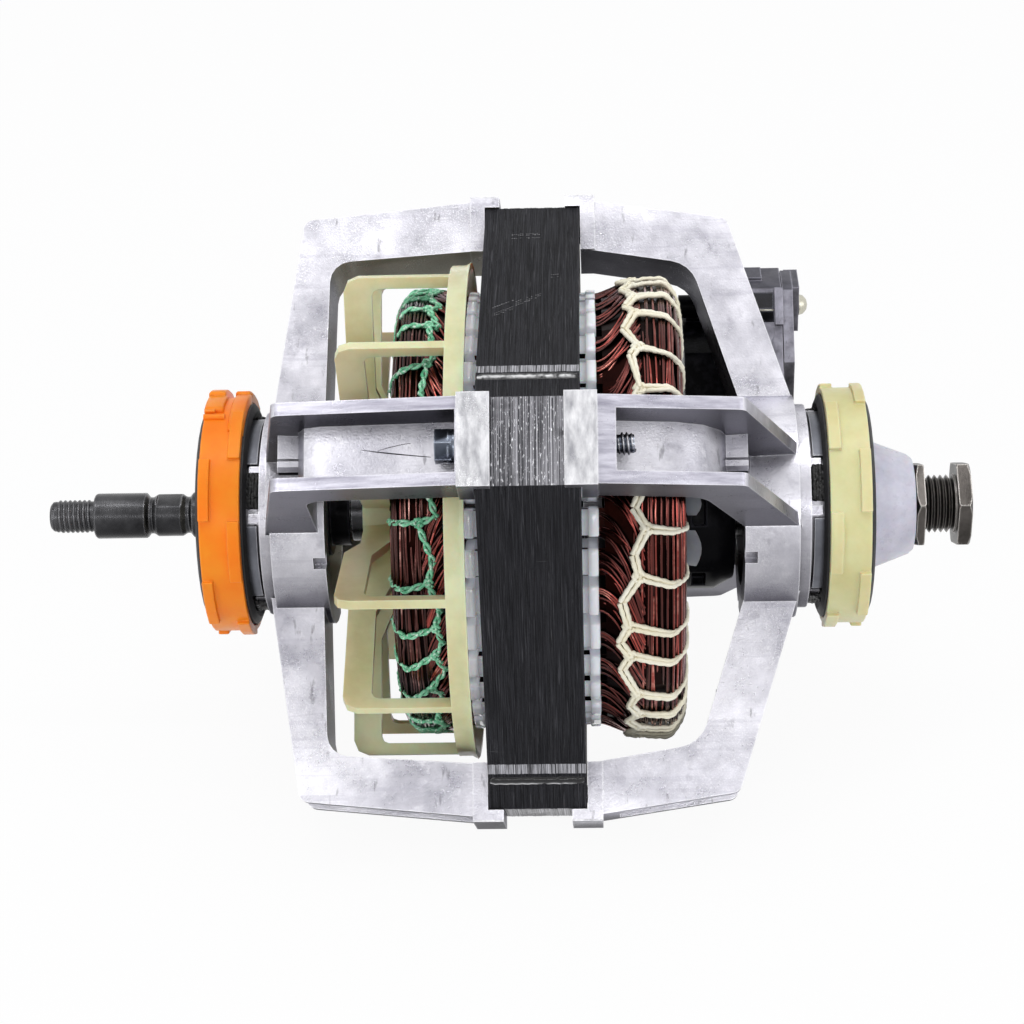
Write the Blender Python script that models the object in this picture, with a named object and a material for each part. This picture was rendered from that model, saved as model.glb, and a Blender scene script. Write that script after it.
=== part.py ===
"""Open-frame dryer motor with a cage fan, cushion rings and a centrifugal switch.

The shaft lies along X, with the blower end at -X and the pulley end at +X. Both die-cast end
frames reach round the stator with four channel arms, which point to the corners between Y and Z.
The motor stands on the pads of its two lower arms.

Inside the helpers, "along" is a distance from the stator's middle, outward to the end concerned,
and "reach" is a distance from the shaft's axis.
"""

import math

import bmesh
import bpy
from mathutils import Matrix, Vector

MM = 0.001

# Segments of round pieces
LARGE_SEGMENTS = 32
SMALL_SEGMENTS = 20
HIDDEN_SEGMENTS = 16

# Faces whose angle is below this count as one flat face
FLAT_ANGLE = math.radians(0.002)

# Gaps
SEAT_GAP = 0.3 * MM
AIR_GAP = 0.6 * MM

# Stator core
STACK_LENGTH = 26.2 * MM
STACK_FLATS = 135.2 * MM
STACK_CORNER_REACH = 84.3 * MM
BORE_RADIUS = 40.0 * MM
SLOT_COUNT = 36
SLOT_MOUTH = 2.4 * MM
TOOTH_TIP = 1.8 * MM
SLOT_INNER_WIDTH = 4.6 * MM
SLOT_OUTER_WIDTH = 7.8 * MM
SLOT_BOTTOM_REACH = 59.5 * MM
WELD_OFFSET = 9.7 * MM
WELD_WIDTH = 2.4 * MM
WELD_DEPTH = 0.7 * MM
WELD_BEAD_RADIUS = 0.75 * MM

# Through bolts
BOLT_CIRCLE_RADIUS = STACK_CORNER_REACH - 4.8 * MM
BOLT_DIAMETER = 4.8 * MM
BOLT_CLEARANCE = 0.35 * MM
BOLT_HEAD_FLATS = 8.0 * MM
BOLT_HEAD_HEIGHT = 5.0 * MM
BOLT_FLANGE_RADIUS = 4.4 * MM
BOLT_FLANGE_LENGTH = 1.6 * MM
BOLT_END_LENGTH = 4.5 * MM

# Windings
WINDING_INNER_RADIUS = 45.0 * MM
LEFT_BUNDLE_RADIUS = 60.4 * MM
LEFT_BUNDLE_START = 20.0 * MM
LEFT_BUNDLE_END = 35.7 * MM
RIGHT_BUNDLE_RADIUS = 62.4 * MM
RIGHT_BUNDLE_START = 19.0 * MM
RIGHT_BUNDLE_END = 39.3 * MM

# Arms of both end frames
ARM_WIDTH = 22.7 * MM
ARM_WALL = 3.2 * MM
ARM_DRAFT = 0.7 * MM
ARM_WEB = 2.3 * MM
PAD_WIDTH = 24.0 * MM
PAD_REACH = STACK_CORNER_REACH + 3.5 * MM
PAD_THICKNESS = 4.1 * MM
PAD_LIP = 4.2 * MM

# Hubs of both end frames
HUB_RADIUS = 31.0 * MM
HUB_DEPTH = 14.7 * MM
FLANGE_RADIUS = 28.3 * MM
FLANGE_DEPTH = 3.2 * MM
NOSE_RADIUS = 23.9 * MM
NOSE_LENGTH = 16.3 * MM
NOSE_RECESS_RADIUS = 20.5 * MM
NOSE_RECESS_DEPTH = 6.3 * MM
HUB_RECESS_RADIUS = 22.0 * MM
HUB_RECESS_DEPTH = 6.1 * MM
NOTCH_ANGLE = 38.0
NOTCH_WIDTH = 3.4 * MM
NOTCH_DEPTH = 3.3 * MM
LUG_ANGLE = 14.5
LUG_WIDTH = 2.6 * MM
LUG_LENGTH = 3.0 * MM
BOSS_RADIUS = 2.4 * MM
BOSS_LENGTH = 5.5 * MM

# Blower end frame, its outline seen from the side
BLOWER_HUB_FACE = 56.3 * MM
BLOWER_FOOT_DEPTH = 16.2 * MM
BLOWER_CORNER_ALONG = 64.2 * MM
BLOWER_CORNER_REACH = STACK_CORNER_REACH - 2.5 * MM
BLOWER_TOE_REACH = STACK_CORNER_REACH + 2.4 * MM
BLOWER_LEG_DEPTH = 12.5 * MM
BLOWER_TOE_DEPTH = 14.5 * MM
BLOWER_SHIN_DEPTH = 7.4 * MM
BLOWER_FOOT_INSET = 1.8 * MM
BLOWER_INNER_ROUND = 6.0 * MM
BLOWER_END_WALL = 4.5 * MM
BLOWER_BOSS_REACH = 60.0 * MM

# Pulley end frame, its outline seen from the side
PULLEY_HUB_FACE = 56.6 * MM
PULLEY_FOOT_DEPTH = 15.2 * MM
PULLEY_CORNER_ALONG = 54.3 * MM
PULLEY_CORNER_REACH = STACK_CORNER_REACH - 3.8 * MM
PULLEY_TOE_REACH = STACK_CORNER_REACH + 2.3 * MM
PULLEY_LEG_DEPTH = 13.2 * MM
PULLEY_TOE_DEPTH = 14.3 * MM
PULLEY_SHIN_DEPTH = 10.2 * MM
PULLEY_FOOT_INSET = 0.6 * MM
PULLEY_INNER_ROUND = 9.0 * MM
PULLEY_END_WALL = 8.7 * MM
PULLEY_BOSS_REACH = 53.6 * MM
ARM_OUTER_ROUND = 3.0 * MM

# Cushion rings round the hub noses
SLEEVE_THICKNESS = 2.2 * MM
SLEEVE_LENGTH = 15.6 * MM
SLEEVE_NOTCH_ANGLE = 38.0
SLEEVE_NOTCH_DEPTH = 4.6 * MM
CUSHION_THICKNESS = 4.2 * MM
CUSHION_LENGTH = 14.0 * MM
CUSHION_BULGE = 1.5 * MM
BAND_THICKNESS = 1.5 * MM
BAND_LENGTH = 11.1 * MM
BAND_SEGMENT_RISE = 1.2 * MM
BAND_SEGMENTS = 6
OUTER_SEGMENT_LENGTH = 3.0 * MM
INNER_SEGMENT_LENGTH = 3.4 * MM

# Shaft
JOURNAL_RADIUS = 6.35 * MM
CORE_SEAT_RADIUS = 7.94 * MM
CORE_SEAT_END = 60.6 * MM
FAN_SEAT_END = 51.3 * MM
THREAD_RADIUS = 4.2 * MM
THREAD_LENGTH = 12.6 * MM
BLOWER_TIP = 136.2 * MM
DRIVE_FLAT_LENGTH = 14.5 * MM
NECK_RADIUS = 5.9 * MM
NECK_GROOVE_RADIUS = 5.1 * MM
NECK_LENGTH = 13.2 * MM
NECK_GROOVE_LENGTH = 2.4 * MM
WRENCH_FLATS = 10.2 * MM
PULLEY_SEAT_RADIUS = 5.0 * MM

# Rotor
CAGE_BARS = 12
CAGE_BAR_RADIUS = 1.7 * MM
CAGE_BAR_REACH = 35.8 * MM
CAGE_RING_LENGTH = 5.0 * MM
CAGE_RING_INNER_RADIUS = 26.0 * MM
CAGE_RING_OUTER_RADIUS = 38.6 * MM

# Bearings and what lies round them
BEARING_LENGTH = 16.0 * MM
BEARING_RADIUS = 10.9 * MM
BEARING_END_RADIUS = 8.8 * MM
THRUST_WASHER_RADIUS = 10.5 * MM
THRUST_WASHER_THICKNESS = 1.4 * MM
RETAINER_THICKNESS = 1.2 * MM
WICK_LENGTH = 3.0 * MM
CAP_THICKNESS = 1.8 * MM

# Cage fan
FAN_BLADES = 12
FAN_FACE = 50.8 * MM
FAN_CLEARANCE = 1.3 * MM
FAN_REACH = BLOWER_CORNER_REACH - BLOWER_LEG_DEPTH - FAN_CLEARANCE
FAN_BLADE_PHASE = 0.57
FAN_BLADE_THICKNESS = 2.4 * MM
FAN_LEG_WIDTH = 7.6 * MM
FAN_BAR_DEPTH = 3.2 * MM
FAN_HUB_RADIUS = 12.0 * MM
FAN_HUB_LENGTH = 17.0 * MM
FAN_HUB_RECESS = 3.8 * MM
FAN_RING_END = 16.7 * MM
FAN_RING_LENGTH = 5.3 * MM
FAN_RING_THICKNESS = 1.8 * MM
FAN_LIP_RISE = 1.2 * MM
COLLAR_RADIUS = 9.2 * MM
COLLAR_RIM_RADIUS = 12.0 * MM
COLLAR_RIM_LENGTH = 3.6 * MM
COLLAR_TUCK = 4.3 * MM

# Drive pulley
PULLEY_START = 104.7 * MM
PULLEY_TIP = 119.8 * MM
PULLEY_FLATS = 22.2 * MM
PULLEY_CHAMFER_RADIUS = 12.4 * MM
INNER_FLANGE_LENGTH = 2.4 * MM
OUTER_FLANGE_LENGTH = 3.8 * MM
DRUM_RADIUS = 8.1 * MM
RIB_COUNT = 5
RIB_PITCH = 1.6 * MM
RIB_DEPTH = 1.2 * MM

# Hub cone at the pulley end
CONE_BASE_RADIUS = 18.7 * MM
CONE_TIP_RADIUS = 13.9 * MM
CONE_LENGTH = 13.9 * MM
CONE_WALL = 1.9 * MM
CONE_SEAT_LENGTH = 2.3 * MM

# Governor
GOVERNOR_BASE_START = 20.0 * MM
GOVERNOR_BASE_RADIUS = 20.0 * MM
GOVERNOR_BASE_THICKNESS = 2.5 * MM
WEIGHT_COUNT = 2
WEIGHT_PIN_REACH = 17.0 * MM
WEIGHT_PIN_ALONG = 25.6 * MM
WEIGHT_PIN_RADIUS = 1.2 * MM
WEIGHT_EYE_RADIUS = 2.7 * MM
WEIGHT_END = 34.7 * MM
WEIGHT_INNER_REACH = 12.8 * MM
WEIGHT_OUTER_REACH = 21.6 * MM
WEIGHT_HALF_WIDTH = 3.6 * MM
WEIGHT_WING_HALF_WIDTH = 9.0 * MM
WEIGHT_SPRING_WIDTH = 1.4 * MM
EAR_THICKNESS = 1.8 * MM
SPOOL_START = 40.0 * MM
SPOOL_END = 54.5 * MM
SPOOL_RADIUS = 22.6 * MM
SPOOL_TIP_RADIUS = 19.6 * MM
SPOOL_TAPER_LENGTH = 5.5 * MM
SPOOL_POCKETS = 6
SPOOL_POCKET_WIDTH = 7.5 * MM
SPOOL_POCKET_LENGTH = 3.6 * MM
SPOOL_POCKET_DEPTH = 3.0 * MM

# Centrifugal switch, which stands off the pulley end frame's hub towards +Y
SWITCH_START = 41.6 * MM
SWITCH_SPLIT = 56.2 * MM
SWITCH_END = 71.0 * MM
SWITCH_SIDE = 69.0 * MM
SWITCH_TOP = 38.7 * MM
SWITCH_BOTTOM = 30.0 * MM
SWITCH_HOUSING_REACH = 30.0 * MM
SWITCH_HOUSING_TOP = 25.0 * MM
SWITCH_BLOCK_REACH = SWITCH_HOUSING_REACH + 4.0 * MM
SWITCH_ARM_OFFSET = 17.2 * MM
SWITCH_WALL = 2.2 * MM
SWITCH_ROUND = 1.5 * MM
COVER_THICKNESS = 3.0 * MM
COVER_EAR_THICKNESS = 5.0 * MM
COVER_EAR_INNER_WIDTH = 5.0 * MM
COVER_EAR_OUTER_WIDTH = 6.0 * MM
COVER_EAR_DROP = 6.0 * MM
COVER_EAR_RISE = 8.4 * MM
SWITCH_RIB_START = 9.0 * MM
SWITCH_RIB_END = 2.5 * MM
SCREW_RADIUS = 1.9 * MM
SCREW_HEAD_RADIUS = 3.1 * MM
SCREW_HEAD_HEIGHT = 2.6 * MM
SCREW_INSET = 7.0 * MM
SCREW_REACH = SWITCH_SIDE - SCREW_INSET
UPPER_SCREW_HEIGHT = 29.5 * MM
LOWER_SCREW_HEIGHT = -22.0 * MM
SCREW_BOSS_RADIUS = 3.4 * MM
SCREW_TIP = 44.5 * MM
WELL_DEPTH = 11.0 * MM
WELL_LENGTH = 9.4 * MM
WELL_BOTTOM = -15.5 * MM
WELL_TOP = 23.5 * MM
TERMINAL_COUNT = 5
TERMINAL_PITCH = 8.0 * MM
TERMINAL_WIDTH = 6.3 * MM
TERMINAL_THICKNESS = 0.8 * MM
TERMINAL_LENGTH = 15.0 * MM
SEAT_HALF_WIDTH = 9.0 * MM
LEVER_PIN_INSET = 6.0 * MM
LEVER_PIN_REACH = SWITCH_HOUSING_REACH + LEVER_PIN_INSET
LEVER_PIN_ALONG = 53.4 * MM
LEVER_PIN_RADIUS = 1.0 * MM
LEVER_TIP_REACH = 11.5 * MM
LEVER_THICKNESS = 1.1 * MM
LEVER_HALF_WIDTH = 3.4 * MM
LEVER_TAIL_LENGTH = 8.0 * MM
LEVER_BEND_LENGTH = 7.0 * MM
LEVER_EYE_RADIUS = 2.3 * MM

# Values that follow from the sizes above
STACK_HALF = STACK_LENGTH / 2
STACK_CORNER_HALF_WIDTH = STACK_FLATS / math.sqrt(2) - STACK_CORNER_REACH
FRAME_FACE = STACK_HALF + SEAT_GAP
NOSE_BORE_RADIUS = BEARING_RADIUS + SEAT_GAP
SHAFT_HOLE_RADIUS = JOURNAL_RADIUS + SEAT_GAP
CORE_HOLE_RADIUS = CORE_SEAT_RADIUS + SEAT_GAP
SLEEVE_INNER_RADIUS = NOSE_RADIUS + SEAT_GAP
SLEEVE_OUTER_RADIUS = SLEEVE_INNER_RADIUS + SLEEVE_THICKNESS
CUSHION_INNER_RADIUS = SLEEVE_OUTER_RADIUS + SEAT_GAP
CUSHION_OUTER_RADIUS = CUSHION_INNER_RADIUS + CUSHION_THICKNESS
BAND_INNER_RADIUS = CUSHION_OUTER_RADIUS + SEAT_GAP
BAND_OUTER_RADIUS = BAND_INNER_RADIUS + BAND_THICKNESS
ROTOR_RADIUS = BORE_RADIUS - AIR_GAP
MOTOR_LENGTH = BLOWER_TIP + PULLEY_TIP
STACK_CENTRE_X = MOTOR_LENGTH / 2 - PULLEY_TIP
AXIS_HEIGHT = (PAD_REACH + PAD_WIDTH / 2) / math.sqrt(2)
ARM_ANGLES = [math.radians(45 + 90 * turn) for turn in range(4)]


def material(name, colour, roughness, metallic=0.0):
    made = bpy.data.materials.new(name)
    made.use_nodes = True
    shader = made.node_tree.nodes["Principled BSDF"]
    shader.inputs["Base Color"].default_value = (*colour, 1.0)
    shader.inputs["Roughness"].default_value = roughness
    shader.inputs["Metallic"].default_value = metallic
    return made


def make_materials():
    return {
        "cast_aluminium": material("cast_aluminium", (0.66, 0.65, 0.68), 0.42, 0.9),
        "lamination_steel": material("lamination_steel", (0.03, 0.03, 0.033), 0.45, 0.4),
        "bolt_steel": material("bolt_steel", (0.30, 0.30, 0.31), 0.35, 0.9),
        "copper": material("copper", (0.26, 0.06, 0.035), 0.30, 0.6),
        "orange_plastic": material("orange_plastic", (1.0, 0.30, 0.03), 0.42),
        "cream_plastic": material("cream_plastic", (0.76, 0.74, 0.42), 0.42),
        "clear_nylon": material("clear_nylon", (0.80, 0.80, 0.86), 0.40),
        "black_rubber": material("black_rubber", (0.015, 0.015, 0.015), 0.70),
        "sleeve_steel": material("sleeve_steel", (0.33, 0.33, 0.36), 0.40, 0.8),
        "shaft_steel": material("shaft_steel", (0.05, 0.05, 0.055), 0.35, 0.8),
        "pulley_steel": material("pulley_steel", (0.16, 0.14, 0.125), 0.42, 0.85),
        "bearing_bronze": material("bearing_bronze", (0.55, 0.36, 0.16), 0.45, 0.9),
        "felt": material("felt", (0.42, 0.38, 0.30), 0.95),
        "black_plastic": material("black_plastic", (0.02, 0.02, 0.022), 0.38),
        "zinc_steel": material("zinc_steel", (0.55, 0.53, 0.45), 0.35, 0.9),
        "brass": material("brass", (0.72, 0.52, 0.22), 0.30, 0.95),
    }


def rounded(corners, steps=4):
    """The closed outline through (a, b, radius) corners, each with a radius rounded by an arc."""
    outline = []
    count = len(corners)
    for index, (a, b, radius) in enumerate(corners):
        corner = Vector((a, b))
        if radius == 0:
            outline.append((a, b))
            continue
        before = (Vector(corners[index - 1][:2]) - corner).normalized()
        after = (Vector(corners[(index + 1) % count][:2]) - corner).normalized()
        half = before.angle(after) / 2
        centre = corner + (before + after).normalized() * radius / math.sin(half)
        first = corner + before * radius / math.tan(half) - centre
        last = corner + after * radius / math.tan(half) - centre
        swing = first.angle_signed(last)
        for step in range(steps + 1):
            turned_by = Matrix.Rotation(-swing * step / steps, 2)
            outline.append(tuple(centre + turned_by @ first))
    return outline


def finished(bm):
    bmesh.ops.recalc_face_normals(bm, faces=bm.faces)
    mesh = bpy.data.meshes.new("shape")
    bm.to_mesh(mesh)
    bm.free()
    return mesh


def turned(profile, segments, closed=True):
    """An (x, radius) profile turned about the X axis. An open one starts and ends on the axis."""
    bm = bmesh.new()
    verts = [bm.verts.new((x, 0.0, radius)) for x, radius in profile]
    edges = [bm.edges.new(pair) for pair in zip(verts, verts[1:])]
    if closed:
        edges.append(bm.edges.new((verts[-1], verts[0])))
    bmesh.ops.spin(
        bm,
        geom=verts + edges,
        cent=(0, 0, 0),
        axis=(1, 0, 0),
        angle=math.tau,
        steps=segments,
        use_merge=True,
    )
    bmesh.ops.remove_doubles(bm, verts=bm.verts, dist=1e-6)
    return finished(bm)


def prism(outline, low, high, place):
    """An (a, b) outline extruded from low to high, where place(a, b, depth) gives each point."""
    bm = bmesh.new()
    ends = []
    for depth in (low, high):
        ends.append([bm.verts.new(place(a, b, depth)) for a, b in outline])
        bm.faces.new(ends[-1])
    for index in range(len(outline)):
        near = ends[0][index - 1], ends[0][index]
        far = ends[1][index], ends[1][index - 1]
        bm.faces.new(near + far)
    return finished(bm)


def box(low, high):
    """A box from its low corner to its high corner."""
    outline = [(low[0], low[1]), (high[0], low[1]), (high[0], high[1]), (low[0], high[1])]
    return prism(outline, low[2], high[2], lambda a, b, depth: Vector((a, b, depth)))


def disc(radius, segments, turn=0.0):
    """A regular polygon, as (a, b) points."""
    steps = [turn + math.tau * step / segments for step in range(segments)]
    return [(radius * math.cos(angle), radius * math.sin(angle)) for angle in steps]


def rod(start, end, radius, centre, segments=16, turn=0.0):
    """A rod or polygonal bar along X, with its axis through the (y, z) centre."""
    outline = [(a + centre[0], b + centre[1]) for a, b in disc(radius, segments, turn)]
    return prism(outline, start, end, lambda y, z, x: Vector((x, y, z)))


def around(mesh, angles):
    """Copies of a mesh turned about the X axis, as one mesh."""
    bm = bmesh.new()
    for angle in angles:
        copy = mesh.copy()
        copy.transform(Matrix.Rotation(angle, 4, "X"))
        bm.from_mesh(copy)
        bpy.data.meshes.remove(copy)
    return finished(bm)


def boolean(base, tools, operation):
    """The base mesh joined with, cut by or kept within each tool mesh."""
    body = bpy.data.objects.new("body", base)
    bpy.context.collection.objects.link(body)
    helpers = []
    for tool in tools:
        helper = bpy.data.objects.new("tool", tool)
        bpy.context.collection.objects.link(helper)
        step = body.modifiers.new("step", "BOOLEAN")
        step.object = helper
        step.operation = operation
        step.solver = "EXACT"
        helpers.append(helper)
    graph = bpy.context.evaluated_depsgraph_get()
    result = bpy.data.meshes.new_from_object(body.evaluated_get(graph))
    for helper in helpers + [body]:
        bpy.data.objects.remove(helper, do_unlink=True)
    bm = bmesh.new()
    bm.from_mesh(result)
    bmesh.ops.dissolve_limit(bm, angle_limit=FLAT_ANGLE, verts=bm.verts, edges=bm.edges)
    return finished(bm)


def empty(name, parent, location=(0, 0, 0)):
    made = bpy.data.objects.new(name, None)
    bpy.context.collection.objects.link(made)
    made.parent = parent
    made.location = location
    return made


def add(name, mesh, finish, parent, sharp=35):
    mesh.name = name
    mesh.materials.clear()
    mesh.materials.append(finish)
    mesh.shade_smooth()
    mesh.set_sharp_from_angle(angle=math.radians(sharp))
    obj = bpy.data.objects.new(name, mesh)
    bpy.context.collection.objects.link(obj)
    obj.parent = parent
    return obj


def slot_outline(inset):
    """Both sides of a slot about +Z, as (y, z) points, drawn in by an inset below its mouth."""
    inner = SLOT_INNER_WIDTH / 2 - inset
    outer = SLOT_OUTER_WIDTH / 2 - inset
    side = [(inner, BORE_RADIUS + TOOTH_TIP + inset), (outer, SLOT_BOTTOM_REACH - inset)]
    return side, [(-y, z) for y, z in reversed(side)]


def core_outline():
    """The stack's square with cut corners, as (y, z) points, with a weld groove on each side."""
    half = STACK_FLATS / 2
    corner = half - STACK_CORNER_HALF_WIDTH * math.sqrt(2)
    groove = WELD_OFFSET - corner
    side = [
        (corner, half),
        (groove + WELD_WIDTH / 2, half),
        (groove + WELD_WIDTH / 4, half - WELD_DEPTH),
        (groove - WELD_WIDTH / 4, half - WELD_DEPTH),
        (groove - WELD_WIDTH / 2, half),
        (-corner, half),
    ]
    outline = []
    for turn in range(4):
        quarter = Matrix.Rotation(math.radians(90 * turn), 2)
        outline += [tuple(quarter @ Vector(point)) for point in side]
    return outline


def make_stator_core():
    """A stack of square laminations with a slotted bore, bolt holes and weld beads."""
    along_x = lambda y, z, x: Vector((x, y, z))
    stack = prism(core_outline(), -STACK_HALF, STACK_HALF, along_x)
    bore = []
    for index in range(SLOT_COUNT):
        turn = Matrix.Rotation(-math.tau * index / SLOT_COUNT, 2)
        right, left = slot_outline(0.0)
        mouth = math.sqrt(BORE_RADIUS**2 - (SLOT_MOUTH / 2) ** 2)
        slot = [(-SLOT_MOUTH / 2, mouth)] + left[::-1] + right[::-1] + [(SLOT_MOUTH / 2, mouth)]
        bore += [tuple(turn @ Vector(point)) for point in slot]
    cutters = [prism(bore, -STACK_LENGTH, STACK_LENGTH, along_x)]
    hole = BOLT_DIAMETER / 2 + BOLT_CLEARANCE
    bolt_hole = rod(-STACK_LENGTH, STACK_LENGTH, hole, (0, BOLT_CIRCLE_RADIUS), 8)
    cutters.append(around(bolt_hole, ARM_ANGLES))
    stack = boolean(stack, cutters, "DIFFERENCE")
    half = STACK_FLATS / 2
    offset = WELD_OFFSET - (half - STACK_CORNER_HALF_WIDTH * math.sqrt(2))
    centre = (offset, half - WELD_DEPTH)
    bead = rod(-STACK_HALF * 0.97, STACK_HALF * 0.97, WELD_BEAD_RADIUS, centre, 8, math.pi / 8)
    beads = around(bead, [math.radians(90 * turn) for turn in range(4)])
    return boolean(stack, [beads], "UNION")


def bundle_profile(start, end, reach):
    """The section of an end turn's bundle, as (along, reach) corners."""
    depth = reach - WINDING_INNER_RADIUS
    length = end - start
    return [
        (start, BORE_RADIUS + TOOTH_TIP),
        (start, SLOT_BOTTOM_REACH + 0.5 * MM),
        (end - 0.4 * length, reach),
        (end - 0.15 * length, reach - 0.03 * depth),
        (end, reach - 0.28 * depth),
        (end, WINDING_INNER_RADIUS + 0.2 * depth),
        (end - 0.2 * length, WINDING_INNER_RADIUS),
    ]


def make_winding():
    """Both end turns and the coil sides that lie in the slots between them."""
    half_pitch = Matrix.Rotation(math.pi / SLOT_COUNT, 4, "X")
    profile = bundle_profile(RIGHT_BUNDLE_START, RIGHT_BUNDLE_END, RIGHT_BUNDLE_RADIUS)
    right = turned(profile, SLOT_COUNT)
    right.transform(half_pitch)
    profile = bundle_profile(LEFT_BUNDLE_START, LEFT_BUNDLE_END, LEFT_BUNDLE_RADIUS)
    left = turned([(-x, radius) for x, radius in profile], SLOT_COUNT)
    left.transform(half_pitch)
    first, last = slot_outline(SEAT_GAP)
    coil_side = prism(
        first + last,
        -LEFT_BUNDLE_START - 3 * MM,
        RIGHT_BUNDLE_START + 3 * MM,
        lambda y, z, x: Vector((x, y, z)),
    )
    sides = around(coil_side, [math.tau * index / SLOT_COUNT for index in range(SLOT_COUNT)])
    return boolean(left, [sides, right], "UNION")


def make_through_bolt(head_along, tip_along):
    """A flanged hex-head bolt on the axis, with its head at -X."""
    shank = rod(-head_along - BOLT_HEAD_HEIGHT / 2, tip_along, BOLT_DIAMETER / 2, (0, 0), 12)
    across = BOLT_HEAD_FLATS / math.sqrt(3)
    flange_end = -head_along - BOLT_FLANGE_LENGTH
    flange = rod(flange_end, -head_along, BOLT_FLANGE_RADIUS, (0, 0), HIDDEN_SEGMENTS)
    hexagon_start = flange_end + BOLT_FLANGE_LENGTH / 2
    head = rod(-head_along - BOLT_HEAD_HEIGHT, hexagon_start, across, (0, 0), 6, math.pi / 6)
    return boolean(head, [flange, shank], "UNION")


def frame_sizes(end):
    """The sizes of one end frame."""
    if end == "blower":
        return {
            "side": -1,
            "hub_face": BLOWER_HUB_FACE,
            "foot": BLOWER_HUB_FACE + BLOWER_FOOT_DEPTH,
            "corner": (BLOWER_CORNER_ALONG, BLOWER_CORNER_REACH),
            "toe": BLOWER_TOE_REACH,
            "leg": BLOWER_LEG_DEPTH,
            "toe_depth": BLOWER_TOE_DEPTH,
            "shin": BLOWER_SHIN_DEPTH,
            "inset": BLOWER_FOOT_INSET,
            "inner_round": BLOWER_INNER_ROUND,
            "end_wall": BLOWER_END_WALL,
            "boss": BLOWER_BOSS_REACH,
        }
    return {
        "side": 1,
        "hub_face": PULLEY_HUB_FACE,
        "foot": PULLEY_HUB_FACE + PULLEY_FOOT_DEPTH,
        "corner": (PULLEY_CORNER_ALONG, PULLEY_CORNER_REACH),
        "toe": PULLEY_TOE_REACH,
        "leg": PULLEY_LEG_DEPTH,
        "toe_depth": PULLEY_TOE_DEPTH,
        "shin": PULLEY_SHIN_DEPTH,
        "inset": PULLEY_FOOT_INSET,
        "inner_round": PULLEY_INNER_ROUND,
        "end_wall": PULLEY_END_WALL,
        "boss": PULLEY_BOSS_REACH,
    }


def hub_marks(sizes):
    """Where the hub's steps lie along the shaft."""
    top = sizes["hub_face"] + HUB_DEPTH
    flange = top + FLANGE_DEPTH
    tip = flange + NOSE_LENGTH
    return top, flange, tip


def arm_lines(sizes):
    """The outer corner, inner corner and ends of an arm's outline, as (along, reach) points."""
    foot_reach = HUB_RADIUS - 5 * MM
    corner = sizes["corner"]
    return {
        "foot_out": (sizes["foot"], foot_reach),
        "corner_out": corner,
        "toe_out": (FRAME_FACE, sizes["toe"]),
        "toe_in": (FRAME_FACE, sizes["toe"] - sizes["toe_depth"]),
        "corner_in": (corner[0] - sizes["shin"], corner[1] - sizes["leg"]),
        "foot_in": (sizes["hub_face"] + sizes["inset"], foot_reach),
    }


def make_arm(sizes):
    """One solid arm about +Z: a shin up from the hub and a leg back to the stator."""
    lines = arm_lines(sizes)
    outline = rounded(
        [
            (*lines["foot_in"], 0),
            (*lines["foot_out"], 0),
            (*lines["corner_out"], ARM_OUTER_ROUND),
            (*lines["toe_out"], 0),
            (*lines["toe_in"], 0),
            (*lines["corner_in"], sizes["inner_round"]),
        ]
    )
    side = sizes["side"]
    half = ARM_WIDTH / 2
    return prism(outline, -half, half, lambda along, reach, y: Vector((side * along, y, reach)))


def make_pad(sizes):
    """The block at an arm's toe, whose lip reaches over the stator's corner."""
    lip_under = STACK_CORNER_REACH + SEAT_GAP
    inner = sizes["toe"] - sizes["toe_depth"] - 0.4 * MM
    back = FRAME_FACE + PAD_THICKNESS
    lip_end = FRAME_FACE - PAD_LIP
    outline = [
        (FRAME_FACE, inner),
        (back, inner),
        (back, PAD_REACH),
        (lip_end, PAD_REACH),
        (lip_end, lip_under),
        (FRAME_FACE, lip_under),
    ]
    side = sizes["side"]
    half = PAD_WIDTH / 2
    return prism(outline, -half, half, lambda along, reach, y: Vector((side * along, y, reach)))


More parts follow.
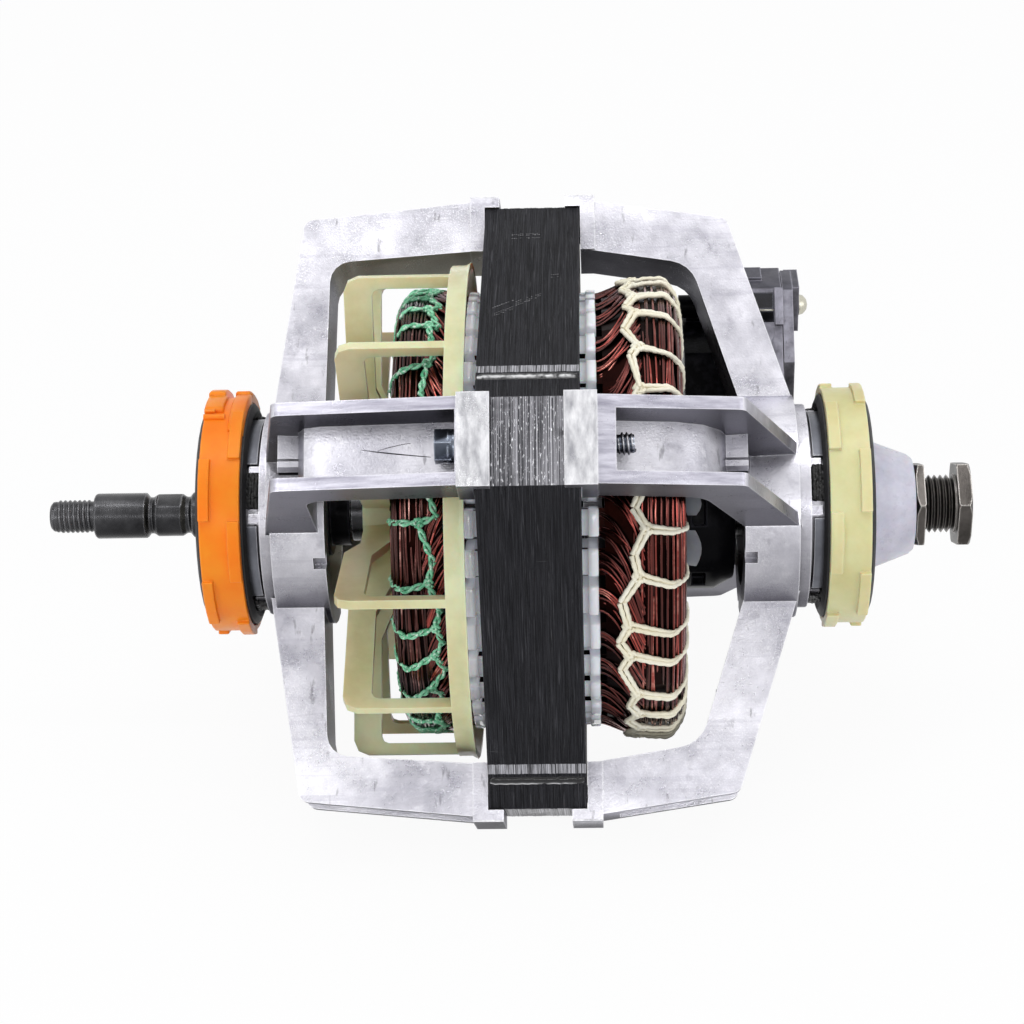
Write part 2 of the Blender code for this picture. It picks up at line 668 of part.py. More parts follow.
def make_channel(sizes):
    """The cutter that hollows an arm from outside, wider at its mouth than at its floor."""
    lines = arm_lines(sizes)
    corner_out = Vector(lines["corner_out"])
    corner_in = Vector(lines["corner_in"])
    toe_in = Vector(lines["toe_in"])
    toe_out = Vector(lines["toe_out"])
    foot_in = Vector(lines["foot_in"])
    foot_out = Vector(lines["foot_out"])
    wall = FRAME_FACE + sizes["end_wall"]
    along_leg = (corner_in - toe_in).normalized()
    along_shin = (corner_in - foot_in).normalized()
    start = toe_in + along_leg * (wall - FRAME_FACE) / along_leg.x + Vector((0, ARM_WEB))
    end = foot_in + along_shin * (HUB_RADIUS - 1 * MM - foot_in.y) / along_shin.y
    end = end + Vector((ARM_WEB, 0))
    knee = corner_in + Vector((ARM_WEB, ARM_WEB)) * 0.9
    bend = sizes["inner_round"]
    floor = [start, knee - along_leg * bend, knee - (along_leg + along_shin) * bend * 0.3]
    floor += [knee - along_shin * bend, end]
    rise = Vector((0, 4 * MM))
    push = Vector((4 * MM, 0))
    mouth_start = Vector((start.x, toe_out.y)) + rise
    mouth_knee = corner_out + rise + push
    mouth_end = Vector((foot_out.x, end.y)) + push
    mouth = [
        mouth_start,
        mouth_start.lerp(mouth_knee, 0.7),
        mouth_knee,
        mouth_knee.lerp(mouth_end, 0.3),
        mouth_end,
    ]
    side = sizes["side"]
    mouth_half = ARM_WIDTH / 2 - ARM_WALL
    floor_half = mouth_half - ARM_DRAFT
    bm = bmesh.new()
    rings = []
    for low, high in zip(floor, mouth):
        corners = ((low, -floor_half), (low, floor_half), (high, mouth_half), (high, -mouth_half))
        ring = [bm.verts.new((side * point.x, y, point.y)) for point, y in corners]
        rings.append(ring)
    for before, after in zip(rings, rings[1:]):
        for index in range(4):
            near = before[index - 1], before[index]
            far = after[index], after[index - 1]
            bm.faces.new(near + far)
    bm.faces.new(rings[0])
    bm.faces.new(rings[-1])
    bmesh.ops.triangulate(bm, faces=bm.faces)
    return finished(bm)


def make_boss(sizes):
    """The round ejector boss on a shin's web, with the rib that ties it to one wall."""
    lines = arm_lines(sizes)
    inner = Vector(lines["foot_in"]).lerp(Vector(lines["corner_in"]), 0.5)
    slope = Vector(lines["corner_in"]) - Vector(lines["foot_in"])
    web = inner.x + (sizes["boss"] - inner.y) * slope.x / slope.y
    side = sizes["side"]
    low, high = sorted((side * (web + 0.5 * MM), side * (web + ARM_WEB + BOSS_LENGTH)))
    boss = rod(low, high, BOSS_RADIUS, (0, sizes["boss"]), 10)
    wall = ARM_WIDTH / 2 - ARM_WALL / 2
    rib_low = (low, BOSS_RADIUS / 2, sizes["boss"] - BOSS_RADIUS * 0.7)
    rib_high = (high, wall, sizes["boss"] + BOSS_RADIUS * 0.7)
    return boolean(boss, [box(rib_low, rib_high)], "UNION")


def make_hub(sizes):
    """The hub with its flange, the nose that carries a cushion ring, and the bearing's bore."""
    top, flange, tip = hub_marks(sizes)
    face = sizes["hub_face"]
    side = sizes["side"]
    profile = [
        (face, HUB_RADIUS),
        (top, HUB_RADIUS),
        (top, FLANGE_RADIUS),
        (flange, FLANGE_RADIUS),
        (flange, NOSE_RADIUS),
        (tip, NOSE_RADIUS),
        (tip, NOSE_RECESS_RADIUS),
        (tip - NOSE_RECESS_DEPTH, NOSE_RECESS_RADIUS),
        (tip - NOSE_RECESS_DEPTH, NOSE_BORE_RADIUS),
        (face + HUB_RECESS_DEPTH, NOSE_BORE_RADIUS),
        (face + HUB_RECESS_DEPTH, HUB_RECESS_RADIUS),
        (face, HUB_RECESS_RADIUS),
    ]
    return turned([(side * along, radius) for along, radius in profile], LARGE_SEGMENTS)


def make_end_frame(end):
    """A die-cast end frame: hub, four channel arms with pads, lugs and notches."""
    sizes = frame_sizes(end)
    side = sizes["side"]
    top, flange, _ = hub_marks(sizes)
    arms = boolean(make_arm(sizes), [make_pad(sizes)], "UNION")
    arms = boolean(arms, [make_channel(sizes)], "DIFFERENCE")
    arms = boolean(arms, [make_boss(sizes)], "UNION")
    frame = boolean(make_hub(sizes), [around(arms, ARM_ANGLES)], "UNION")
    hole = BOLT_DIAMETER / 2 + BOLT_CLEARANCE
    wall = FRAME_FACE + sizes["end_wall"]
    low, high = sorted((side * (FRAME_FACE - 2 * MM), side * (wall + 3 * MM)))
    bolt_hole = rod(low, high, hole, (0, BOLT_CIRCLE_RADIUS), 8)
    low, high = sorted((side * (sizes["hub_face"] - 2 * MM), side * (sizes["hub_face"] + NOTCH_DEPTH)))
    notch = box((low, -NOTCH_WIDTH / 2, HUB_RADIUS - 3 * MM), (high, NOTCH_WIDTH / 2, HUB_RADIUS * 1.2))
    turns = [angle + math.radians(NOTCH_ANGLE) for angle in ARM_ANGLES]
    tools = [around(bolt_hole, ARM_ANGLES), around(notch, turns)]
    frame = boolean(frame, tools, "DIFFERENCE")
    low, high = sorted((side * (flange - 1 * MM), side * (flange + LUG_LENGTH)))
    lug = box((low, -LUG_WIDTH / 2, NOSE_RADIUS - 1 * MM), (high, LUG_WIDTH / 2, SLEEVE_OUTER_RADIUS))
    turns = [angle + math.radians(shift) for angle in ARM_ANGLES for shift in (-LUG_ANGLE, LUG_ANGLE)]
    frame = boolean(frame, [around(lug, turns)], "UNION")
    if end == "pulley":
        seat_low = (SWITCH_SPLIT + 2 * MM, HUB_RADIUS - 2 * MM, -SEAT_HALF_WIDTH)
        seat_high = (top - 1 * MM, SWITCH_BLOCK_REACH - SEAT_GAP, SEAT_HALF_WIDTH)
        frame = boolean(frame, [box(seat_low, seat_high)], "UNION")
    return frame


def cushion_start(end):
    """Where a cushion ring's parts start, outward from the flange."""
    _, flange, tip = hub_marks(frame_sizes(end))
    return flange, tip


def make_sleeve(end):
    """The steel sleeve that slides over the nose, notched for the frame's lugs."""
    flange, _ = cushion_start(end)
    start = flange + SEAT_GAP + 0.5 * MM
    side = frame_sizes(end)["side"]
    profile = [
        (start, SLEEVE_OUTER_RADIUS),
        (start + SLEEVE_LENGTH, SLEEVE_OUTER_RADIUS),
        (start + SLEEVE_LENGTH, SLEEVE_INNER_RADIUS),
        (start, SLEEVE_INNER_RADIUS),
    ]
    sleeve = turned([(side * along, radius) for along, radius in profile], LARGE_SEGMENTS)
    half = math.radians(SLEEVE_NOTCH_ANGLE / 2)
    inner = SLEEVE_INNER_RADIUS * 0.9
    outer = SLEEVE_OUTER_RADIUS * 1.1
    sector = [
        (-inner * math.sin(half), inner * math.cos(half)),
        (inner * math.sin(half), inner * math.cos(half)),
        (outer * math.sin(half), outer * math.cos(half)),
        (0.0, outer * 1.05),
        (-outer * math.sin(half), outer * math.cos(half)),
    ]
    low, high = sorted((side * (start - 1 * MM), side * (start + SLEEVE_NOTCH_DEPTH)))
    notch = prism(sector, low, high, lambda y, z, x: Vector((x, y, z)))
    return boolean(sleeve, [around(notch, ARM_ANGLES)], "DIFFERENCE")


def make_cushion(end):
    """The rubber ring, which bulges past the band on both sides."""
    flange, _ = cushion_start(end)
    start = flange + SEAT_GAP + 2.9 * MM
    finish = start + CUSHION_LENGTH
    middle = (CUSHION_INNER_RADIUS + CUSHION_OUTER_RADIUS) / 2
    side = frame_sizes(end)["side"]
    profile = [
        (start + CUSHION_BULGE, CUSHION_INNER_RADIUS),
        (start, middle),
        (start + CUSHION_BULGE * 0.6, CUSHION_OUTER_RADIUS),
        (finish - CUSHION_BULGE * 0.6, CUSHION_OUTER_RADIUS),
        (finish, middle),
        (finish - CUSHION_BULGE, CUSHION_INNER_RADIUS),
    ]
    return turned([(side * along, radius) for along, radius in profile], LARGE_SEGMENTS)


def make_band(end):
    """The plastic band, with raised segments that alternate along its two edges."""
    flange, _ = cushion_start(end)
    start = flange + SEAT_GAP + 2.9 * MM + (CUSHION_LENGTH - BAND_LENGTH) / 2
    finish = start + BAND_LENGTH
    inner_edge = start + INNER_SEGMENT_LENGTH
    outer_edge = finish - OUTER_SEGMENT_LENGTH
    side = frame_sizes(end)["side"]
    profile = [
        (start, BAND_OUTER_RADIUS),
        (inner_edge, BAND_OUTER_RADIUS),
        (outer_edge, BAND_OUTER_RADIUS),
        (finish, BAND_OUTER_RADIUS),
        (finish, BAND_INNER_RADIUS),
        (start, BAND_INNER_RADIUS),
    ]
    band = turned([(side * along, radius) for along, radius in profile], 6 * BAND_SEGMENTS)
    pitch = math.tau / BAND_SEGMENTS

    def raised(middle):
        share = math.atan2(middle.y, middle.z) % pitch / pitch
        along = side * middle.x
        outside = math.hypot(middle.y, middle.z) > (BAND_INNER_RADIUS + BAND_OUTER_RADIUS) / 2
        return outside and (along > outer_edge and share < 0.5 or along < inner_edge and share > 0.5)

    bm = bmesh.new()
    bm.from_mesh(band)
    faces = [face for face in bm.faces if raised(face.calc_center_bounds())]
    lifted = bmesh.ops.extrude_face_region(bm, geom=faces)["geom"]
    for vert in [item for item in lifted if isinstance(item, bmesh.types.BMVert)]:
        vert.co += Vector((0, vert.co.y, vert.co.z)).normalized() * BAND_SEGMENT_RISE
    bmesh.ops.delete(bm, geom=faces, context="FACES")
    return finished(bm)


def make_shaft():
    """The stepped shaft, threaded at the blower end and reduced for the pulley."""
    thread_end = BLOWER_TIP - THREAD_LENGTH
    body_end = thread_end - DRIVE_FLAT_LENGTH
    neck_end = body_end - NECK_LENGTH
    groove = NECK_GROOVE_LENGTH
    profile = [
        (-BLOWER_TIP, 0.0),
        (-BLOWER_TIP, THREAD_RADIUS - 0.8 * MM),
        (-BLOWER_TIP + 0.8 * MM, THREAD_RADIUS),
        (-thread_end, THREAD_RADIUS),
        (-thread_end, JOURNAL_RADIUS - 0.5 * MM),
        (-thread_end + 0.5 * MM, JOURNAL_RADIUS),
        (-body_end, JOURNAL_RADIUS),
        (-body_end + groove * 0.4, NECK_GROOVE_RADIUS),
        (-body_end + groove * 0.8, NECK_GROOVE_RADIUS),
        (-body_end + groove * 1.3, NECK_RADIUS),
        (-neck_end - groove * 1.3, NECK_RADIUS),
        (-neck_end - groove * 0.8, NECK_GROOVE_RADIUS),
        (-neck_end - groove * 0.4, NECK_GROOVE_RADIUS),
        (-neck_end, JOURNAL_RADIUS),
        (-FAN_SEAT_END, JOURNAL_RADIUS),
        (-FAN_SEAT_END, CORE_SEAT_RADIUS),
        (CORE_SEAT_END, CORE_SEAT_RADIUS),
        (CORE_SEAT_END, JOURNAL_RADIUS),
        (PULLEY_START - 1 * MM, JOURNAL_RADIUS),
        (PULLEY_START - 1 * MM, PULLEY_SEAT_RADIUS),
        (PULLEY_TIP - 1.3 * MM, PULLEY_SEAT_RADIUS),
        (PULLEY_TIP - 0.7 * MM, PULLEY_SEAT_RADIUS - 0.6 * MM),
        (PULLEY_TIP - 0.7 * MM, 0.0),
    ]
    shaft = turned(profile, SMALL_SEGMENTS, closed=False)
    flat_low = -body_end + groove * 1.3
    flat_high = -neck_end - groove * 1.3
    far = JOURNAL_RADIUS * 1.5
    above = box((flat_low, -far, WRENCH_FLATS / 2), (flat_high, far, far))
    below = box((flat_low, -far, -far), (flat_high, far, -WRENCH_FLATS / 2))
    return boolean(shaft, [above, below], "DIFFERENCE")


def make_rotor_core():
    """The rotor's laminations, with a round hole for each cage bar."""
    profile = [
        (-STACK_HALF, ROTOR_RADIUS),
        (STACK_HALF, ROTOR_RADIUS),
        (STACK_HALF, CORE_HOLE_RADIUS),
        (-STACK_HALF, CORE_HOLE_RADIUS),
    ]
    core = turned(profile, LARGE_SEGMENTS)
    hole = rod(-STACK_LENGTH, STACK_LENGTH, CAGE_BAR_RADIUS + SEAT_GAP, (0, CAGE_BAR_REACH), 6)
    holes = around(hole, [math.tau * index / CAGE_BARS for index in range(CAGE_BARS)])
    return boolean(core, [holes], "DIFFERENCE")


def make_rotor_cage():
    """Two cast end rings joined by bars through the core."""
    start = STACK_HALF + SEAT_GAP
    end = start + CAGE_RING_LENGTH
    profile = [
        (start, CAGE_RING_OUTER_RADIUS),
        (end, CAGE_RING_OUTER_RADIUS - 1 * MM),
        (end, CAGE_RING_INNER_RADIUS),
        (start, CAGE_RING_INNER_RADIUS),
    ]
    right = turned(profile, 2 * CAGE_BARS)
    left = turned([(-x, radius) for x, radius in profile], 2 * CAGE_BARS)
    bar = rod(-start - 1 * MM, start + 1 * MM, CAGE_BAR_RADIUS, (0, CAGE_BAR_REACH), 6)
    bars = around(bar, [math.tau * index / CAGE_BARS for index in range(CAGE_BARS)])
    return boolean(left, [bars, right], "UNION")


def make_fan():
    """The moulded cage fan: a hub, L-shaped blades round the end turns, and a lipped ring."""
    face = FAN_FACE
    hub_face = FAN_FACE - FAN_HUB_RECESS
    hub_end = face - FAN_HUB_LENGTH
    leg_end = face - FAN_LEG_WIDTH
    inner = FAN_REACH - FAN_BAR_DEPTH
    ring_start = FAN_RING_END + FAN_RING_LENGTH
    root = FAN_HUB_RADIUS - 1 * MM
    blade_outline = rounded(
        [
            (hub_face, root, 0),
            (hub_face, FAN_REACH * 0.40, 0),
            (face, FAN_REACH * 0.50, 0),
            (face, FAN_REACH, 4 * MM),
            (ring_start - 1 * MM, FAN_REACH, 0),
            (ring_start - 1 * MM, inner, 0),
            (leg_end, inner, 2 * MM),
            (leg_end, FAN_REACH * 0.53, 0),
            (hub_end, FAN_HUB_RADIUS + 2 * MM, 0),
            (hub_end, root, 0),
        ],
        2,
    )
    half = FAN_BLADE_THICKNESS / 2
    blade = prism(blade_outline, -half, half, lambda along, reach, y: Vector((-along, y, reach)))
    turns = [(index + FAN_BLADE_PHASE) / FAN_BLADES for index in range(FAN_BLADES)]
    blades = around(blade, [math.tau * turn for turn in turns])
    hub = turned(
        [
            (-hub_face - 0.4 * MM, FAN_HUB_RADIUS + 2 * MM),
            (-hub_end + 0.4 * MM, FAN_HUB_RADIUS),
            (-hub_end + 0.4 * MM, CORE_HOLE_RADIUS),
            (-hub_face - 0.4 * MM, CORE_HOLE_RADIUS),
        ],
        2 * FAN_BLADES,
    )
    ring_inner = FAN_REACH - FAN_RING_THICKNESS
    ring = turned(
        [
            (-ring_start, FAN_REACH + 0.3 * MM),
            (-FAN_RING_END - 1.6 * MM, FAN_REACH + 0.3 * MM),
            (-FAN_RING_END, FAN_REACH + FAN_LIP_RISE),
            (-FAN_RING_END, FAN_REACH + FAN_LIP_RISE - FAN_RING_THICKNESS),
            (-FAN_RING_END - 1.8 * MM, ring_inner),
            (-ring_start, ring_inner),
        ],
        3 * FAN_BLADES,
    )
    return boolean(hub, [blades, ring], "UNION")


def make_fan_collar():
    """The black collar between the blower end's bearing and the fan."""
    start = FAN_SEAT_END + SEAT_GAP
    end = BLOWER_HUB_FACE + COLLAR_TUCK
    profile = [
        (end, COLLAR_RIM_RADIUS),
        (end - COLLAR_RIM_LENGTH, COLLAR_RIM_RADIUS),
        (end - COLLAR_RIM_LENGTH, COLLAR_RADIUS),
        (start, COLLAR_RADIUS),
        (start, SHAFT_HOLE_RADIUS),
        (end, SHAFT_HOLE_RADIUS),
    ]
    return turned([(-along, radius) for along, radius in profile], SMALL_SEGMENTS)


def washer(side, start, thickness, inner, outer):
    """A flat ring about the shaft."""
    profile = [
        (side * start, outer),
        (side * (start + thickness), outer),
        (side * (start + thickness), inner),
        (side * start, inner),
    ]
    return turned(profile, HIDDEN_SEGMENTS)


def bearing_start(sizes):
    return sizes["hub_face"] + HUB_RECESS_DEPTH + SEAT_GAP


def make_bearing(sizes):
    """A sleeve bearing with a crowned outside."""
    start = bearing_start(sizes)
    side = sizes["side"]
    steps = 4
    crown = []
    for step in range(steps + 1):
        share = step / steps
        bow = math.sin(math.pi * share)
        radius = BEARING_END_RADIUS + (BEARING_RADIUS - BEARING_END_RADIUS) * bow
        crown.append((side * (start + BEARING_LENGTH * share), radius))
    crown.append((side * (start + BEARING_LENGTH), SHAFT_HOLE_RADIUS))
    crown.append((side * start, SHAFT_HOLE_RADIUS))
    return turned(crown, HIDDEN_SEGMENTS)


def make_retainer(sizes):
    """The dished spring plate that holds a bearing in its seat."""
    side = sizes["side"]
    start = bearing_start(sizes) - 2 * SEAT_GAP - RETAINER_THICKNESS
    inner = COLLAR_RIM_RADIUS + 2 * SEAT_GAP
    return washer(side, start, RETAINER_THICKNESS, inner, HUB_RECESS_RADIUS - SEAT_GAP)


def make_thrust_washer(sizes):
    start = bearing_start(sizes) - SEAT_GAP - THRUST_WASHER_THICKNESS
    return washer(sizes["side"], start, THRUST_WASHER_THICKNESS, SHAFT_HOLE_RADIUS, THRUST_WASHER_RADIUS)


def wick_start(sizes):
    _, _, tip = hub_marks(sizes)
    return tip - NOSE_RECESS_DEPTH + SEAT_GAP


def make_wick(sizes):
    """The felt ring that feeds oil to a bearing."""
    outer = NOSE_RECESS_RADIUS - SEAT_GAP
    return washer(sizes["side"], wick_start(sizes), WICK_LENGTH, SHAFT_HOLE_RADIUS + 0.6 * MM, outer)


def make_end_cap(sizes):
    """The pressed cap that closes the blower end's nose."""
    start = wick_start(sizes) + WICK_LENGTH + SEAT_GAP
    outer = NOSE_RECESS_RADIUS - SEAT_GAP
    return washer(sizes["side"], start, CAP_THICKNESS, SHAFT_HOLE_RADIUS + 0.8 * MM, outer)


def make_cone(sizes):
    """The hollow nylon cone that closes the pulley end's nose."""
    start = wick_start(sizes) + WICK_LENGTH + SEAT_GAP
    shoulder = start + CONE_SEAT_LENGTH
    end = shoulder + CONE_LENGTH
    hole = SHAFT_HOLE_RADIUS + 0.8 * MM
    profile = [
        (start, NOSE_RECESS_RADIUS - SEAT_GAP),
        (shoulder, NOSE_RECESS_RADIUS - SEAT_GAP),
        (shoulder, CONE_BASE_RADIUS),
        (end - 1.3 * MM, CONE_TIP_RADIUS),
        (end, CONE_TIP_RADIUS - 1.1 * MM),
        (end, hole),
        (end - CONE_WALL, hole),
        (end - CONE_WALL, CONE_TIP_RADIUS - CONE_WALL),
        (shoulder, CONE_BASE_RADIUS - CONE_WALL),
        (start, CONE_BASE_RADIUS - CONE_WALL),
    ]
    return turned(profile, LARGE_SEGMENTS)


def make_pulley():
    """The ribbed belt pulley between two hexagonal flanges."""
    hole = PULLEY_SEAT_RADIUS + SEAT_GAP
    drum_start = PULLEY_START + INNER_FLANGE_LENGTH
    drum_end = PULLEY_TIP - OUTER_FLANGE_LENGTH
    first_rib = (drum_start + drum_end - RIB_COUNT * RIB_PITCH) / 2
    edge = 0.8 * MM
    rim = PULLEY_CHAMFER_RADIUS + 0.5 * MM
    profile = [
        (PULLEY_START, hole),
        (PULLEY_START, PULLEY_CHAMFER_RADIUS - edge),
        (PULLEY_START + edge, rim),
        (drum_start - edge / 2, rim),
        (drum_start, rim - edge / 2),
        (drum_start, DRUM_RADIUS),
        (first_rib, DRUM_RADIUS),
    ]
    for index in range(RIB_COUNT):
        left = first_rib + index * RIB_PITCH
        profile.append((left + RIB_PITCH / 2, DRUM_RADIUS - RIB_DEPTH))
        profile.append((left + RIB_PITCH, DRUM_RADIUS))
    profile += [
        (drum_end, DRUM_RADIUS),
        (drum_end, rim - edge / 2),
        (drum_end + edge / 2, rim),
        (PULLEY_TIP - edge, rim),
        (PULLEY_TIP, PULLEY_CHAMFER_RADIUS - edge),
        (PULLEY_TIP, hole),
    ]
    across = PULLEY_FLATS / math.sqrt(3)
    hexagon = rod(PULLEY_START - 1 * MM, PULLEY_TIP + 1 * MM, across, (0, 0), 6, math.pi / 6)
    return boolean(turned(profile, SMALL_SEGMENTS), [hexagon], "INTERSECT")


def make_governor_base():
    """The plate on the shaft, with two ears for each weight's pin."""
    start = GOVERNOR_BASE_START
    face = start + GOVERNOR_BASE_THICKNESS
    hub_radius = CORE_HOLE_RADIUS + 2.6 * MM
    plate = turned(
        [
            (start, GOVERNOR_BASE_RADIUS),
            (face, GOVERNOR_BASE_RADIUS),
            (face, hub_radius),
            (face + 4 * MM, hub_radius),
            (face + 4 * MM, CORE_HOLE_RADIUS),
            (start, CORE_HOLE_RADIUS),
        ],
        SMALL_SEGMENTS,
    )
    inner = WEIGHT_HALF_WIDTH + WEIGHT_SPRING_WIDTH + 2 * SEAT_GAP
    ears = []
    for side in (-1, 1):
        low, high = sorted((side * inner, side * (inner + EAR_THICKNESS)))
        top = WEIGHT_PIN_REACH + WEIGHT_EYE_RADIUS
        ear = box(
            (face - 1 * MM, low, WEIGHT_PIN_REACH - WEIGHT_EYE_RADIUS),
            (WEIGHT_PIN_ALONG + WEIGHT_EYE_RADIUS, high, top),
        )
        hole = pin_rod(WEIGHT_PIN_RADIUS + SEAT_GAP, low - 1 * MM, high + 1 * MM)
        ears.append(around(boolean(ear, [hole], "DIFFERENCE"), weight_angles()))
    return boolean(plate, ears, "UNION")


def weight_angles():
    return [math.tau * index / WEIGHT_COUNT for index in range(WEIGHT_COUNT)]


def pin_rod(radius, low, high, segments=12):
    """A rod along Y through the first weight's pivot."""
    outline = [(a + WEIGHT_PIN_ALONG, b + WEIGHT_PIN_REACH) for a, b in disc(radius, segments)]
    return prism(outline, low, high, lambda x, z, y: Vector((x, y, z)))


def make_weight():
    """A governor weight about +Z: an eye on its pin and a wider block beyond it."""
    block_start = WEIGHT_PIN_ALONG + WEIGHT_EYE_RADIUS + 1 * MM
    eye = pin_rod(WEIGHT_EYE_RADIUS, -WEIGHT_HALF_WIDTH, WEIGHT_HALF_WIDTH, 16)
    neck = box(
        (WEIGHT_PIN_ALONG, -WEIGHT_HALF_WIDTH, WEIGHT_PIN_REACH - WEIGHT_EYE_RADIUS * 0.7),
        (block_start + 1 * MM, WEIGHT_HALF_WIDTH, WEIGHT_PIN_REACH + WEIGHT_EYE_RADIUS * 0.7),
    )
    block = box(
        (block_start, -WEIGHT_WING_HALF_WIDTH, WEIGHT_INNER_REACH),
        (WEIGHT_END, WEIGHT_WING_HALF_WIDTH, WEIGHT_OUTER_REACH),
    )
    hole = pin_rod(WEIGHT_PIN_RADIUS + SEAT_GAP, -WEIGHT_HALF_WIDTH * 2, WEIGHT_HALF_WIDTH * 2)
    return boolean(boolean(eye, [neck, block], "UNION"), [hole], "DIFFERENCE")


def make_weight_spring():
    """The torsion spring's coil beside a weight's eye, as one closed turn."""
    low = WEIGHT_HALF_WIDTH + SEAT_GAP
    coil = pin_rod(WEIGHT_EYE_RADIUS * 0.9, low, low + WEIGHT_SPRING_WIDTH)
    hole = pin_rod(WEIGHT_PIN_RADIUS + SEAT_GAP, low - 1 * MM, low + WEIGHT_SPRING_WIDTH + 1 * MM)
    return boolean(coil, [hole], "DIFFERENCE")


def make_spool():
    """The governor's sliding spool, with pockets round its rim."""
    taper = SPOOL_END - SPOOL_TAPER_LENGTH
    profile = [
        (SPOOL_START, SPOOL_RADIUS),
        (taper, SPOOL_RADIUS),
        (SPOOL_END, SPOOL_TIP_RADIUS),
        (SPOOL_END, CORE_HOLE_RADIUS),
        (SPOOL_START, CORE_HOLE_RADIUS),
    ]
    spool = turned(profile, 30)
    middle = (SPOOL_START + taper) / 2
    pocket = box(
        (middle - SPOOL_POCKET_LENGTH / 2, -SPOOL_POCKET_WIDTH / 2, SPOOL_RADIUS - SPOOL_POCKET_DEPTH),
        (middle + SPOOL_POCKET_LENGTH / 2, SPOOL_POCKET_WIDTH / 2, SPOOL_RADIUS * 1.2),
    )
    angles = [math.tau * index / SPOOL_POCKETS for index in range(SPOOL_POCKETS)]
    return boolean(spool, [around(pocket, angles)], "DIFFERENCE")


def switch_outline(reach, top, bottom, inset=0.0):
    """A wedge between two arms, as (y, z) corners, which keeps clear of both."""
    side = SWITCH_SIDE - inset
    top = top - inset
    bottom = bottom - inset
    reach = reach + inset
    offset = SWITCH_ARM_OFFSET + inset * math.sqrt(2)
    corner = SWITCH_ROUND
    return rounded(
        [
            (reach, -(reach - offset), 0),
            (reach, reach - offset, 0),
            (top + offset, top, corner),
            (side, top, corner),
            (side, -bottom, corner),
            (bottom + offset, -bottom, corner),
        ],
        2,
    )


def across_x(y, z, x):
    return Vector((x, y, z))


def screw_holes(low, high):
    """Clearance holes for both of the switch's screws."""
    radius = SCREW_RADIUS + SEAT_GAP
    return [
        rod(low, high, radius, (SCREW_REACH, UPPER_SCREW_HEIGHT), 12),
        rod(low, high, radius, (SCREW_REACH, LOWER_SCREW_HEIGHT), 12),
    ]


def make_switch_housing():
    """The shell on the rotor's side, open towards the terminal block."""
    end = SWITCH_SPLIT
    shell = prism(
        switch_outline(SWITCH_HOUSING_REACH, SWITCH_HOUSING_TOP, SWITCH_BOTTOM),
        SWITCH_START + SWITCH_WALL / 2,
        end,
        across_x,
    )
    bosses = [
        rod(SWITCH_START, end, SCREW_BOSS_RADIUS, (SCREW_REACH, UPPER_SCREW_HEIGHT), 16),
        box(
            (SWITCH_START + SWITCH_WALL, SCREW_REACH - 1 * MM, SWITCH_HOUSING_TOP - 1 * MM),
            (end, SCREW_REACH + 1 * MM, UPPER_SCREW_HEIGHT),
        ),
    ]
    shell = boolean(shell, bosses, "UNION")
    lower_centre = (SCREW_REACH, LOWER_SCREW_HEIGHT)
    lower_boss = rod(SWITCH_START + SWITCH_WALL, end * 1.1, SCREW_BOSS_RADIUS, lower_centre, 16)
    hollow = prism(
        switch_outline(SWITCH_HOUSING_REACH, SWITCH_HOUSING_TOP, SWITCH_BOTTOM, SWITCH_WALL),
        SWITCH_START + SWITCH_WALL * 1.5,
        end + 1 * MM,
        across_x,
    )
    hollow = boolean(hollow, [lower_boss], "DIFFERENCE")
    slot = box(
        (LEVER_PIN_ALONG - 4 * MM, SWITCH_HOUSING_REACH - 1 * MM, -LEVER_HALF_WIDTH - 1 * MM),
        (end + 1 * MM, SWITCH_HOUSING_REACH + SWITCH_WALL + 1 * MM, LEVER_HALF_WIDTH + 1 * MM),
    )
    return boolean(shell, [hollow, slot] + screw_holes(SCREW_TIP - 1 * MM, end + 1 * MM), "DIFFERENCE")


def terminal_heights():
    middle = (WELL_BOTTOM + WELL_TOP) / 2
    first = middle - TERMINAL_PITCH * (TERMINAL_COUNT - 1) / 2
    return [first + TERMINAL_PITCH * index for index in range(TERMINAL_COUNT)]


